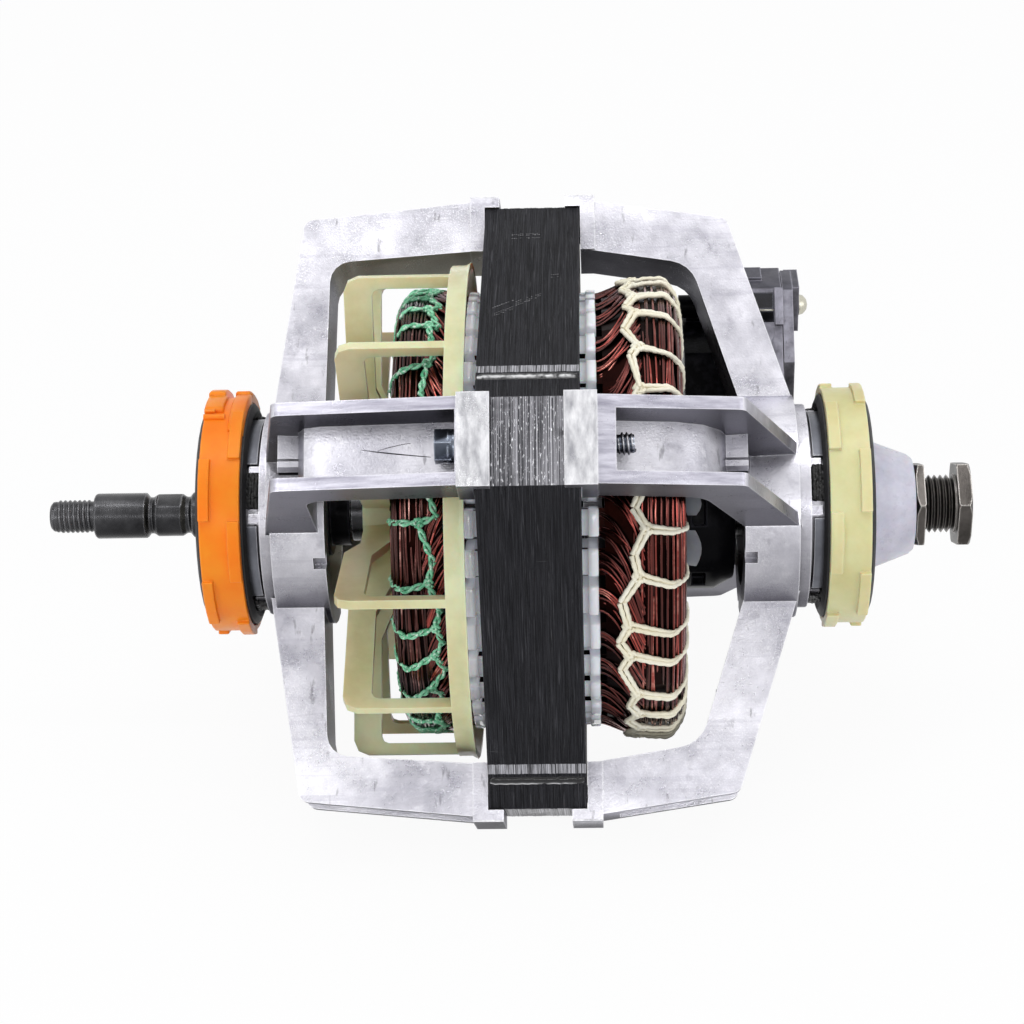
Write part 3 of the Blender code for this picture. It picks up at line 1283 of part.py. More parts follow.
def make_terminal_block():
    """The block outside the shell, with a socket well, blade slots and the lever's ears."""
    start = SWITCH_SPLIT + SEAT_GAP
    block = prism(
        switch_outline(SWITCH_BLOCK_REACH, SWITCH_TOP, SWITCH_BOTTOM), start, SWITCH_END, across_x
    )
    middle = (start + SWITCH_END) / 2
    rib = box(
        (middle - 3.2 * MM, SWITCH_SIDE - SWITCH_RIB_START, SWITCH_TOP - 1 * MM),
        (middle + 1.8 * MM, SWITCH_SIDE - SWITCH_RIB_END, SWITCH_TOP + 1 * MM),
    )
    ears = []
    inner = LEVER_HALF_WIDTH + SEAT_GAP
    for side in (-1, 1):
        low, high = sorted((side * inner, side * (inner + 2 * MM)))
        ear = box(
            (LEVER_PIN_ALONG - LEVER_EYE_RADIUS, LEVER_PIN_REACH - LEVER_EYE_RADIUS, low),
            (start + 1 * MM, LEVER_PIN_REACH + LEVER_EYE_RADIUS, high),
        )
        hole = lever_rod(LEVER_PIN_RADIUS + SEAT_GAP, low - 1 * MM, high + 1 * MM)
        ears.append(boolean(ear, [hole], "DIFFERENCE"))
    block = boolean(block, [rib] + ears, "UNION")
    well = box(
        (middle - WELL_LENGTH / 2, SWITCH_SIDE - WELL_DEPTH, WELL_BOTTOM),
        (middle + WELL_LENGTH / 2, SWITCH_SIDE + 1 * MM, WELL_TOP),
    )
    cutters = [well] + screw_holes(start - 1 * MM, SWITCH_END + 1 * MM)
    half = TERMINAL_WIDTH / 2 + SEAT_GAP
    root = SWITCH_SIDE - 1.5 * MM - TERMINAL_LENGTH - SEAT_GAP
    for height in terminal_heights():
        thick = TERMINAL_THICKNESS / 2 + SEAT_GAP
        low = (middle - half, root, height - thick)
        high = (middle + half, SWITCH_SIDE - WELL_DEPTH + 1 * MM, height + thick)
        cutters.append(box(low, high))
    return boolean(block, cutters, "DIFFERENCE")


def make_terminal(height):
    """One flat blade terminal in its slot."""
    middle = (SWITCH_SPLIT + SEAT_GAP + SWITCH_END) / 2
    half = TERMINAL_WIDTH / 2
    tip = SWITCH_SIDE - 1.5 * MM
    root = tip - TERMINAL_LENGTH
    outline = [
        (middle - half, root),
        (middle + half, root),
        (middle + half, tip - 1.2 * MM),
        (middle + half * 0.7, tip),
        (middle - half * 0.7, tip),
        (middle - half, tip - 1.2 * MM),
    ]
    thick = TERMINAL_THICKNESS / 2
    return prism(outline, height - thick, height + thick, lambda x, y, z: Vector((x, y, z)))


def make_switch_cover():
    """The plate over the terminal block, with a thicker ear under the upper screw."""
    start = SWITCH_END + SEAT_GAP
    plate = prism(
        switch_outline(SWITCH_BLOCK_REACH + 6 * MM, SWITCH_TOP, SWITCH_BOTTOM - 3 * MM, 0.6 * MM),
        start,
        start + COVER_THICKNESS,
        across_x,
    )
    ear = box(
        (start + 1 * MM, SCREW_REACH - COVER_EAR_INNER_WIDTH, UPPER_SCREW_HEIGHT - COVER_EAR_DROP),
        (
            start + COVER_EAR_THICKNESS,
            SCREW_REACH + COVER_EAR_OUTER_WIDTH,
            UPPER_SCREW_HEIGHT + COVER_EAR_RISE,
        ),
    )
    plate = boolean(plate, [ear], "UNION")
    return boolean(plate, screw_holes(start - 1 * MM, start + COVER_EAR_THICKNESS + 1 * MM), "DIFFERENCE")


def make_switch_screw(seat):
    """A round-head screw on the axis, whose head rests on the seat."""
    head = seat + SEAT_GAP
    steps = 3
    profile = [(SCREW_TIP, 0.0), (SCREW_TIP, SCREW_RADIUS), (head, SCREW_RADIUS)]
    for step in range(steps + 1):
        swing = math.pi / 2 * step / steps
        profile.append((head + SCREW_HEAD_HEIGHT * math.sin(swing), SCREW_HEAD_RADIUS * math.cos(swing)))
    return turned(profile, HIDDEN_SEGMENTS, closed=False)


def lever_rod(radius, low, high, segments=12):
    """A rod along Z through the switch lever's pivot."""
    outline = [(a + LEVER_PIN_ALONG, b + LEVER_PIN_REACH) for a, b in disc(radius, segments)]
    return prism(outline, low, high, lambda x, y, z: Vector((x, y, z)))


def make_lever():
    """The lever between the spool's end and the contacts, on its pin."""
    face = SPOOL_END + SEAT_GAP
    tail = LEVER_PIN_REACH + LEVER_TAIL_LENGTH
    outline = [
        (face, LEVER_TIP_REACH),
        (face + LEVER_THICKNESS, LEVER_TIP_REACH),
        (face + LEVER_THICKNESS, LEVER_PIN_REACH - 4 * MM),
        (LEVER_PIN_ALONG + 1 * MM, LEVER_PIN_REACH),
        (LEVER_PIN_ALONG + 1 * MM, tail),
        (LEVER_PIN_ALONG, tail),
        (LEVER_PIN_ALONG - 1 * MM, LEVER_PIN_REACH),
        (face, LEVER_PIN_REACH - LEVER_BEND_LENGTH),
    ]
    arm = prism(outline, -LEVER_HALF_WIDTH, LEVER_HALF_WIDTH, lambda x, y, z: Vector((x, y, z)))
    eye = lever_rod(LEVER_EYE_RADIUS, -LEVER_HALF_WIDTH, LEVER_HALF_WIDTH, 16)
    hole = lever_rod(LEVER_PIN_RADIUS + SEAT_GAP, -LEVER_HALF_WIDTH * 2, LEVER_HALF_WIDTH * 2)
    return boolean(boolean(arm, [eye], "UNION"), [hole], "DIFFERENCE")


def set_origin(obj, point):
    """Moves an object's origin to a point in its parent's space, with its shape left in place."""
    obj.data.transform(Matrix.Translation(-Vector(point)))
    obj.location = point


def build_static(motor, finishes):
    sizes = {end: frame_sizes(end) for end in ("blower", "pulley")}
    aluminium = finishes["cast_aluminium"]
    add("blower_end_frame", make_end_frame("blower"), aluminium, motor)
    add("pulley_end_frame", make_end_frame("pulley"), aluminium, motor)
    add("stator_core", make_stator_core(), finishes["lamination_steel"], motor)
    add("stator_winding", make_winding(), finishes["copper"], motor)
    head_along = FRAME_FACE + BLOWER_END_WALL + SEAT_GAP
    tip_along = FRAME_FACE + PULLEY_END_WALL + BOLT_END_LENGTH
    for index, angle in enumerate(ARM_ANGLES):
        name = f"through_bolt_{index + 1}"
        bolt = add(name, make_through_bolt(head_along, tip_along), finishes["bolt_steel"], motor)
        bolt.rotation_euler = (angle, 0, 0)
        bolt.location = Matrix.Rotation(angle, 3, "X") @ Vector((0, 0, BOLT_CIRCLE_RADIUS))
    bands = {"blower": finishes["orange_plastic"], "pulley": finishes["cream_plastic"]}
    for end, size in sizes.items():
        add(f"{end}_ring_sleeve", make_sleeve(end), finishes["sleeve_steel"], motor)
        add(f"{end}_ring_cushion", make_cushion(end), finishes["black_rubber"], motor)
        add(f"{end}_ring_band", make_band(end), bands[end], motor)
        add(f"{end}_bearing", make_bearing(size), finishes["bearing_bronze"], motor)
        add(f"{end}_bearing_retainer", make_retainer(size), finishes["zinc_steel"], motor)
        add(f"{end}_thrust_washer", make_thrust_washer(size), finishes["black_plastic"], motor)
        add(f"{end}_oil_wick", make_wick(size), finishes["felt"], motor)
    add("blower_end_cap", make_end_cap(sizes["blower"]), finishes["zinc_steel"], motor)
    add("pulley_hub_cone", make_cone(sizes["pulley"]), finishes["clear_nylon"], motor)


def build_rotor(motor, finishes):
    rotor = empty("rotor_axis", motor)
    add("rotor_shaft", make_shaft(), finishes["shaft_steel"], rotor)
    add("rotor_core", make_rotor_core(), finishes["lamination_steel"], rotor)
    add("rotor_cage", make_rotor_cage(), finishes["cast_aluminium"], rotor)
    add("cage_fan", make_fan(), finishes["cream_plastic"], rotor)
    add("fan_collar", make_fan_collar(), finishes["black_plastic"], rotor)
    add("drive_pulley", make_pulley(), finishes["pulley_steel"], rotor)
    add("governor_base", make_governor_base(), finishes["zinc_steel"], rotor)
    add("governor_spool", make_spool(), finishes["black_plastic"], rotor)
    half = WEIGHT_HALF_WIDTH + WEIGHT_SPRING_WIDTH + 2 * SEAT_GAP + EAR_THICKNESS + 0.5 * MM
    pivot = Vector((WEIGHT_PIN_ALONG, 0, WEIGHT_PIN_REACH))
    for index, angle in enumerate(weight_angles()):
        turn = Matrix.Rotation(angle, 3, "X")
        pieces = {
            f"governor_weight_{index + 1}": (make_weight(), "zinc_steel"),
            f"weight_pin_{index + 1}": (pin_rod(WEIGHT_PIN_RADIUS, -half, half), "bolt_steel"),
            f"weight_spring_{index + 1}": (make_weight_spring(), "bolt_steel"),
        }
        for name, (mesh, finish) in pieces.items():
            piece = add(name, mesh, finishes[finish], rotor)
            set_origin(piece, pivot)
            piece.rotation_euler = (angle, 0, 0)
            piece.location = turn @ pivot


def build_switch(motor, finishes):
    plastic = finishes["black_plastic"]
    add("switch_housing", make_switch_housing(), plastic, motor)
    add("terminal_block", make_terminal_block(), plastic, motor)
    add("switch_cover", make_switch_cover(), plastic, motor)
    for index, height in enumerate(terminal_heights()):
        add(f"terminal_{index + 1}", make_terminal(height), finishes["brass"], motor)
    plate = SWITCH_END + SEAT_GAP
    seats = {
        "switch_screw_upper": (UPPER_SCREW_HEIGHT, plate + COVER_EAR_THICKNESS),
        "switch_screw_lower": (LOWER_SCREW_HEIGHT, plate + COVER_THICKNESS),
    }
    for name, (height, seat) in seats.items():
        screw = add(name, make_switch_screw(seat), finishes["zinc_steel"], motor)
        screw.location = (0, SCREW_REACH, height)
    pivot = (LEVER_PIN_ALONG, LEVER_PIN_REACH, 0)
    lever = add("switch_lever", make_lever(), finishes["brass"], motor)
    set_origin(lever, pivot)
    half = LEVER_HALF_WIDTH + 2 * MM + 2 * SEAT_GAP
    pin = add("lever_pin", lever_rod(LEVER_PIN_RADIUS, -half, half), finishes["bolt_steel"], motor)
    set_origin(pin, pivot)


def main():
    for old in list(bpy.data.objects):
        bpy.data.objects.remove(old, do_unlink=True)
    finishes = make_materials()
    motor = empty("motor", None, (STACK_CENTRE_X, 0, AXIS_HEIGHT))
    build_static(motor, finishes)
    build_rotor(motor, finishes)
    build_switch(motor, finishes)


main()
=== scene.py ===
# %% [markdown]
# # A dryer motor with open end frames
#
# This lesson dresses a dryer motor for a photograph. The solid model already gives every part its
# place. Here each part gets the surface that its making leaves: cast, turned, wound, laced or moulded.

# %% Load the motor
import math
import random

import bmesh
import bpy
from mathutils import Matrix, Vector, noise


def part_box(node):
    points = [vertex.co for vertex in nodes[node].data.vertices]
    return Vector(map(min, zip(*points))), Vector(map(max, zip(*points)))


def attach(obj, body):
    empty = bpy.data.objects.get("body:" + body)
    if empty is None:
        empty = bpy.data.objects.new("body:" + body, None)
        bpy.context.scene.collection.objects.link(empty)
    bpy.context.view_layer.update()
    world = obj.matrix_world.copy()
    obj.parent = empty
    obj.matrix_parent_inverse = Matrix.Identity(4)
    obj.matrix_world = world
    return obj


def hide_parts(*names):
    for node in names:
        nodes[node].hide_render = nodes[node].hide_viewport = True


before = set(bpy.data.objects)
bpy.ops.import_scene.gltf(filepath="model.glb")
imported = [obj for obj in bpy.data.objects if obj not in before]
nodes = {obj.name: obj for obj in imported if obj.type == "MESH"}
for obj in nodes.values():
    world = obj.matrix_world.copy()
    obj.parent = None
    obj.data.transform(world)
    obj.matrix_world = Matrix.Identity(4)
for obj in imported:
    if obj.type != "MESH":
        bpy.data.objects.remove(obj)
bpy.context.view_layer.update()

# %% [markdown]
# All sizes below are in millimetres from the middle of the stator, with x along the shaft, because a
# motor is measured from its core. An angle is counted from straight up towards the front.

# %% Places on the motor
MM = 0.001
CENTRE = Vector((8.2, 0.0, 70.569))


def at(x, y, z):
    return (CENTRE + Vector((x, y, z))) * MM


def around_shaft(x, reach, angle):
    turn = math.radians(angle)
    return at(x, -reach * math.sin(turn), reach * math.cos(turn))


print("the shaft lies", CENTRE.z, "mm above the floor")

# %% [markdown]
# Every added piece is a mesh built from points, shaded smooth but for its hard edges. Each one is told
# which moving body it rides on and which finishes its faces have.

# %% A piece from points and faces
def mesh_piece(name, verts, faces, finishes, body, kinds=None, sharp=40):
    """A mesh object. The kinds say which of the finishes each face has, and sharp is in degrees."""
    mesh = bpy.data.meshes.new(name)
    mesh.from_pydata(verts, [], faces)
    bm = bmesh.new()
    bm.from_mesh(mesh)
    bmesh.ops.recalc_face_normals(bm, faces=bm.faces)
    bm.to_mesh(mesh)
    bm.free()
    for finish in finishes:
        mesh.materials.append(finish)
    if kinds:
        mesh.polygons.foreach_set("material_index", kinds)
    mesh.shade_smooth()
    mesh.set_sharp_from_angle(angle=math.radians(sharp))
    obj = bpy.data.objects.new(name, mesh)
    bpy.context.collection.objects.link(obj)
    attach(obj, body)
    return obj


print("pieces can be made")

# %% [markdown]
# Wires, cords, films and threads are all skins over rings of points, so one collector serves them all.
# It also keeps a shade for each point: a wire gets its own, and is painted brightest on the side that
# faces away from the heart of its bundle, a painted highlight where the light would reach it.

# %% Strands and skins
class Strands:
    """Collects many thin skins as one mesh, with a shade at each point."""

    def __init__(self):
        self.verts, self.faces, self.shades = [], [], []

    def skin(self, rings, shades, closed=True, caps=True):
        """Joins rings of equally many points with quads. An open skin has rows instead of rings."""
        first, size = len(self.verts), len(rings[0])
        last = first + (len(rings) - 1) * size
        for ring in rings:
            self.verts += ring
        self.shades += shades if isinstance(shades, list) else [shades] * (size * len(rings))
        for low in range(first, last, size):
            for step in range(size if closed else size - 1):
                after = (step + 1) % size
                self.faces.append((low + step, low + after, low + size + after, low + size + step))
        if caps:
            self.faces += [tuple(range(first, first + size)), tuple(range(last, last + size))]

    def tube(self, points, radius, sides, caps=True, heart=None, shade=None):
        """A round tube with one radius, or one for each point."""
        if shade is None:
            shade = random.random()
            if heart:
                shade = 0.25 + 0.75 * shade**2
        rings, shades, side = [], [], None
        for index, point in enumerate(points):
            before = points[max(index - 1, 0)]
            after = points[min(index + 1, len(points) - 1)]
            along = (after - before).normalized()
            if side is None:
                side = along.orthogonal().normalized()
            side = (side - along * side.dot(along)).normalized()
            other = along.cross(side)
            size = radius[index] if isinstance(radius, list) else radius
            away = (point - heart(point)).normalized() if heart else None
            turns = [math.tau * step / sides for step in range(sides)]
            offsets = [side * math.cos(turn) + other * math.sin(turn) for turn in turns]
            rings.append([point + offset * size for offset in offsets])
            # With a heart, the shade is a painted highlight: bright away from the heart, dark towards it.
            shades += [shade * max(0.0, offset.dot(away)) ** 1.5 if heart else shade for offset in offsets]
        self.skin(rings, shades, caps=caps)

    def piece(self, name, finish, body):
        obj = mesh_piece(name, self.verts, self.faces, [finish], body, sharp=80)
        shade = obj.data.attributes.new("shade", "FLOAT", "POINT")
        shade.data.foreach_set("value", self.shades)
        print(name, len(self.faces), "faces")
        return obj


print("strands and skins can be made")

# %% [markdown]
# A wire or a cord is placed by a few marks that it has to pass through. A smooth curve joins them, so
# it bends evenly, as a springy strand does.

# %% Smooth paths
def smooth_path(marks, step):
    """A smooth curve through marks, as points about a step apart, in millimetres."""
    points = []
    for index in range(len(marks) - 1):
        a = marks[max(index - 1, 0)]
        b, c = marks[index], marks[index + 1]
        d = marks[min(index + 2, len(marks) - 1)]
        count = max(1, round((c - b).length / (step * MM)))
        for part in range(count):
            t = part / count
            points.append(
                0.5 * (2 * b + (c - a) * t + (2 * a - 5 * b + 4 * c - d) * t**2
                       + (3 * b - a - 3 * c + d) * t**3)
            )
    points.append(marks[-1])
    return points


print("smooth paths can be drawn")

# %% [markdown]
# Real surfaces are never one flat colour, so each finish is built from many shader nodes. Short helpers
# make a node and join it to others in one line, which keeps the wiring readable.

# %% Helpers for node trees
def wire(tree, kind, inputs=None, **settings):
    """A node with its settings made, and each input given a value or joined to a socket."""
    node = tree.nodes.new(kind)
    for key, value in settings.items():
        setattr(node, key, value)
    for key, value in (inputs or {}).items():
        if isinstance(value, bpy.types.NodeSocket):
            tree.links.new(value, node.inputs[key])
        else:
            node.inputs[key].default_value = value
    return node


def maths(tree, operation, *values):
    return wire(tree, "ShaderNodeMath", dict(enumerate(values)), operation=operation).outputs[0]


def vectors(tree, operation, *values):
    made = wire(tree, "ShaderNodeVectorMath", dict(enumerate(values)), operation=operation)
    return made.outputs["Value" if operation == "DOT_PRODUCT" else "Vector"]


def scaled(tree, value, factor):
    return maths(tree, "MULTIPLY", value, factor)


def ramp(tree, value, start, end):
    """0 at the start, 1 at the end and beyond, and even between them."""
    return wire(tree, "ShaderNodeMapRange", {"Value": value, "From Min": start, "From Max": end}).outputs[0]


def axis(tree, vector, name):
    return wire(tree, "ShaderNodeSeparateXYZ", {0: vector}).outputs[name]


def place_of(tree):
    return wire(tree, "ShaderNodeTexCoord").outputs["Object"]


def normal_of(tree):
    return wire(tree, "ShaderNodeTexCoord").outputs["Normal"]


print("node helpers ready")

# %% [markdown]
# A few small effects are shared by all the finishes. Each is a node group with named inputs that puts
# out only a mask or a height, so every finish can use it with numbers of its own.

# %% Helper for shared effects
def effect(name, values, build, result="Mask"):
    """A node group with the named inputs, whose one output is what build returns."""
    tree = bpy.data.node_groups.new(name, "ShaderNodeTree")
    for key, value in values.items():
        kind = "NodeSocketVector" if isinstance(value, tuple) else "NodeSocketFloat"
        tree.interface.new_socket(key, in_out="INPUT", socket_type=kind).default_value = value
    tree.interface.new_socket(result, in_out="OUTPUT", socket_type="NodeSocketFloat")
    given = tree.nodes.new("NodeGroupInput")
    out = tree.nodes.new("NodeGroupOutput")
    tree.links.new(build(tree, given.outputs), out.inputs[result])
    return tree


def even(per_metre):
    """The same fineness along x, y and z."""
    return (per_metre,) * 3


print("effects can be made")

# %% [markdown]
# The first effects are in the skin itself: cloudy patches of tone, edges worn bright where hands and
# tools touch, and the fine rings that a lathe leaves round a turned part. Patches can be stretched, so
# the same group also draws brush lines, drawn steel and the edges of stacked sheets.

# %% Patches, worn edges and turning rings
def build_patches(tree, given):
    spread = vectors(tree, "MULTIPLY", place_of(tree), given["Stretch"])
    cloud = wire(tree, "ShaderNodeTexNoise", {"Vector": spread, "Scale": 1.0, "Detail": given["Detail"],
                                              "Roughness": 0.6})
    return ramp(tree, cloud.outputs["Fac"], given["Low"], given["High"])


def build_edges(tree, given):
    soft = wire(tree, "ShaderNodeBevel", {"Radius": given["Width"]}, samples=4)
    flat = wire(tree, "ShaderNodeNewGeometry").outputs["Normal"]
    return ramp(tree, vectors(tree, "DOT_PRODUCT", soft.outputs[0], flat), 0.995, 0.90)


def build_rings(tree, given):
    along = scaled(tree, axis(tree, place_of(tree), "X"), given["Per metre"])
    return wire(tree, "ShaderNodeTexNoise", {"W": along, "Scale": 1.0, "Detail": 3.0},
                noise_dimensions="1D").outputs["Fac"]


PATCHES = effect("patches", {"Stretch": even(60.0), "Detail": 5.0, "Low": 0.35, "High": 0.65}, build_patches)
EDGES = effect("worn_edges", {"Width": 0.0006}, build_edges)
RINGS = effect("turning_rings", {"Per metre": 2500.0}, build_rings, "Height")
print("shared effects:", len(bpy.data.node_groups))

# %% [markdown]
# The next effects ask which way a face looks and how sheltered it lies. Dust settles on what faces up,
# and on black plastic the same mask lays a painted sheen. Painted shade darkens the hollows and the
# faces that look down, where less light reaches. Paint could mark such places by hand, but a rule about
# the face's own direction also holds when a part is reshaped.

# %% Dust and sheen, and painted shade in hollows and undersides
# Dust on the faces that look up; the same mask also serves for a painted sheen.
def build_dust_and_sheen(tree, given):
    up = axis(tree, wire(tree, "ShaderNodeNewGeometry").outputs["Normal"], "Z")
    cloud = wire(tree, "ShaderNodeTexNoise", {"Vector": place_of(tree), "Scale": given["Scale"],
                                              "Detail": 8.0})
    return scaled(tree, ramp(tree, up, 0.2, 1.0), ramp(tree, cloud.outputs["Fac"], 0.45, 0.7))


# Painted shade where nearby surfaces close in.
def build_hollow_shade(tree, given):
    shut = wire(tree, "ShaderNodeAmbientOcclusion", {"Distance": given["Reach"]}, samples=4)
    return ramp(tree, shut.outputs["AO"], given["Open"], given["Shut"])


# Painted shade by which way a face looks; with its usual limits it darkens the faces that look down.
def build_facing_shade(tree, given):
    cloud = wire(tree, "ShaderNodeTexNoise", {"Vector": place_of(tree), "Scale": 70.0, "Detail": 5.0})
    up = axis(tree, normal_of(tree), "Z")
    broken = maths(tree, "MULTIPLY_ADD", cloud.outputs["Fac"], 0.20, up)
    return ramp(tree, broken, given["Start"], given["End"])


DUST_AND_SHEEN = effect("settled_dust_and_painted_sheen", {"Scale": 300.0}, build_dust_and_sheen)
HOLLOW_SHADE = effect("painted_shade_in_hollows", {"Reach": 0.008, "Open": 0.80, "Shut": 0.25}, build_hollow_shade)
FACING_SHADE = effect("painted_facing_shade", {"Start": 0.62, "End": -0.32}, build_facing_shade)
print("shared effects:", len(bpy.data.node_groups))

# %% [markdown]
# The last effects know where the shaft is. Faces that look towards it get a painted reflection of the
# inside of the motor. The pads at the frame's four corners are cut flat by a machine, and so are the rims
# of the channel arms, which look straight outward. A corner's reach is measured along the diagonal.

# %% Painted reflection on inward faces, pads and rims
DIAGONAL = (0.0, 0.70711, 0.70711)


def from_shaft(tree):
    moved = vectors(tree, "ADD", place_of(tree), tuple(-CENTRE * MM))
    return vectors(tree, "MULTIPLY", moved, (0.0, 1.0, 1.0))


def outward(tree):
    """1 where a face looks away from the shaft, and -1 where it looks towards it."""
    out = vectors(tree, "NORMALIZE", from_shaft(tree))
    return vectors(tree, "DOT_PRODUCT", out, normal_of(tree))


def beyond(tree, given):
    size = vectors(tree, "ABSOLUTE", from_shaft(tree))
    return maths(tree, "GREATER_THAN", vectors(tree, "DOT_PRODUCT", size, DIAGONAL), given["Reach"])


# Painted reflection: 1 on faces that look towards the shaft.
def build_inward_reflection(tree, given):
    return ramp(tree, outward(tree), given["Start"], -0.55)


def build_rims(tree, given):
    return scaled(tree, beyond(tree, given), maths(tree, "GREATER_THAN", outward(tree), 0.8))


INWARD_REFLECTION = effect("painted_inward_reflection", {"Start": -0.05}, build_inward_reflection)
PADS = effect("machined_pads", {"Reach": 0.0873}, beyond)
RIMS = effect("channel_rims", {"Reach": 0.080}, build_rims)
print("shared effects:", len(bpy.data.node_groups))

# %% [markdown]
# One recipe makes every finish. It starts with two tones in patches, and each mark is then mixed over
# them as a tone and an amount. So the recipe first needs a way to use an effect and to mix colours.

# %% Recipe: mixing colours
def use(tree, group, **values):
    node = tree.nodes.new("ShaderNodeGroup")
    node.node_tree = group
    for key, value in values.items():
        node.inputs[key].default_value = value
    return node.outputs[0]


def blend_colour(tree, mask, low, high):
    """The low colour where the mask is 0 and the high one where it is 1. Either may be a socket."""
    mix = tree.nodes.new("ShaderNodeMix")
    mix.data_type = "RGBA"
    factor, first, second = mix.inputs[0], mix.inputs[6], mix.inputs[7]
    for socket, value in ((factor, mask), (first, low), (second, high)):
        if isinstance(value, bpy.types.NodeSocket):
            tree.links.new(value, socket)
        else:
            socket.default_value = (*value, 1.0)
    return mix.outputs[2]


def tinted(tree, colour, mask, tone, amount):
    return blend_colour(tree, scaled(tree, mask, amount), colour, tone)


print("colours can be mixed")

# %% [markdown]
# The marks of the making come first: streaks along the flow or the grinding and bright grains, then
# painted shade on the undersides and tops, and the tones of the machined places.

# %% Recipe: the marks of the making, and painted shade by facing
def marks_and_facing_shade(tree, colour, streaks, speckle, under, rims, top, pads):
    """The colour with its marks and its painted shade, and the mask of the bright grains, which also stand
    out a little.
    """
    grains = None
    for tone, amount, run, start in streaks:
        lines = use(tree, PATCHES, Stretch=run, Low=start, High=start + 0.10, Detail=3.0)
        colour = tinted(tree, colour, lines, tone, amount)
    if speckle:
        area = use(tree, PATCHES, Stretch=even(26.0), Low=0.48, High=0.62)
        specks = use(tree, PATCHES, Stretch=even(2100.0), Low=0.54, High=0.60, Detail=2.0)
        grains = scaled(tree, area, specks)
        colour = tinted(tree, colour, grains, *speckle)
    # Painted shade on the faces that look down.
    if under:
        colour = tinted(tree, colour, use(tree, FACING_SHADE), *under)
    if rims:
        drawn = use(tree, PATCHES, Stretch=(30.0, 520.0, 520.0), Low=0.36, High=0.64, Detail=6.0)
        colour = blend_colour(tree, use(tree, RIMS), colour, blend_colour(tree, drawn, *rims))
    # Painted shade on the faces that look straight up.
    if top:
        colour = tinted(tree, colour, use(tree, FACING_SHADE, Start=0.80, End=1.0), *top)
    if pads:
        brushed = use(tree, PATCHES, Stretch=(420.0, 150.0, 150.0), Low=0.30, High=0.70, Detail=7.0)
        colour = blend_colour(tree, use(tree, PADS), colour, blend_colour(tree, brushed, *pads))
    return colour, grains


print("marks of the making ready")

# %% [markdown]
# Strands add their own shades: each wire is a little lighter or darker than the next, and is painted
# bright along its crown, where a painted glint also runs in broken dashes. Last, over everything, come
# dust with a painted sheen, painted shade in hollows, the painted reflection of the inside, and bright
# worn edges.

# %% Recipe: strand shades with painted highlights, and wear with painted light
def strand_shades_and_highlights(tree, colour, tone, amount, painted_glint=None, start=0.50, sharpness=3.5):
    shade = wire(tree, "ShaderNodeAttribute", attribute_name="shade").outputs["Fac"]
    colour = tinted(tree, colour, maths(tree, "POWER", shade, 1.4), tone, amount)
    # A painted glint along the crown of the brightest strands.
    if painted_glint:
        crown = maths(tree, "POWER", shade, sharpness)
        broken = use(tree, PATCHES, Stretch=even(230.0), Low=start, High=start + 0.12, Detail=3.0)
        colour = blend_colour(tree, scaled(tree, crown, broken), colour, painted_glint)
    return colour


def wear_and_painted_light(tree, colour, dust, hollow_shade, under, inner, edge):
    # Dust on the faces that look up; on black plastic this is a painted sheen.
    if dust:
        colour = tinted(tree, colour, use(tree, DUST_AND_SHEEN), *dust)
    # Painted shade in hollows, strongest on the faces that look down.
    if hollow_shade:
        tone, amount, *limits = hollow_shade
        shut = scaled(tree, use(tree, HOLLOW_SHADE, **dict(zip(("Reach", "Open", "Shut"), limits))), amount)
        if under:
            below = maths(tree, "MULTIPLY_ADD", use(tree, FACING_SHADE), 0.88, 0.12)
            shut = scaled(tree, shut, below)
        colour = blend_colour(tree, shut, colour, tone)
    # Painted reflection on the faces that look towards the shaft.
    if inner:
        colour = tinted(tree, colour, use(tree, INWARD_REFLECTION), *inner)
    if edge:
        colour = tinted(tree, colour, use(tree, EDGES), *edge)
    return colour


print("shades and wear ready")

# %% [markdown]
# The whole recipe joins these to a shader. The gloss wanders between two limits, a fine grain roughens
# the skin, and whatever else the shader needs, such as metal or a coat, is set on it as it is.

# %% Recipe for a finish
LOOKS = {}


def finish(name, low, high, gloss, stretch=even(60.0), limits=(0.35, 0.65), grain=(900.0, 0.03), rings=0.0,
           streaks=(), speckle=None, under=None, rims=None, top=None, pads=None, shades=None, dust=None,
           hollow_shade=None, inner=None, edge=None, **shader):
    """A material from two tones, the limits of its gloss, and its marks. Grain is (per metre, mm)."""
    made = bpy.data.materials.new("finish_" + name)
    made.use_nodes = True
    tree = made.node_tree
    principled = tree.nodes["Principled BSDF"]
    mask = use(tree, PATCHES, Stretch=stretch, Low=limits[0], High=limits[1], Detail=9.0)
    colour = blend_colour(tree, mask, low, high)
    colour, grains = marks_and_facing_shade(tree, colour, streaks, speckle, under, rims, top, pads)
    if shades:
        colour = strand_shades_and_highlights(tree, colour, *shades)
    colour = wear_and_painted_light(tree, colour, dust, hollow_shade, under, inner, edge)
    tree.links.new(colour, principled.inputs["Base Color"])

    per_metre, depth = grain
    skin = use(tree, PATCHES, Stretch=even(per_metre), Detail=3.0, Low=0.25, High=0.75)
    uneven = maths(tree, "ADD", skin, use(tree, PATCHES, Stretch=even(110.0), Low=0.3, High=0.7))
    rough = wire(tree, "ShaderNodeMapRange", {"Value": uneven, "From Max": 2.0, "To Min": gloss[0],
                                              "To Max": gloss[1]})
    tree.links.new(rough.outputs[0], principled.inputs["Roughness"])

    height = skin
    if grains is not None:
        height = maths(tree, "ADD", height, grains)
    if rings:
        height = maths(tree, "ADD", height, scaled(tree, use(tree, RINGS), rings))
    bump = wire(tree, "ShaderNodeBump", {"Height": height, "Distance": depth * MM, "Strength": 0.6})
    tree.links.new(bump.outputs[0], principled.inputs["Normal"])
    for key, value in shader.items():
        principled.inputs[key.replace("_", " ")].default_value = value
    LOOKS[name] = made
    return made


print("recipe ready")
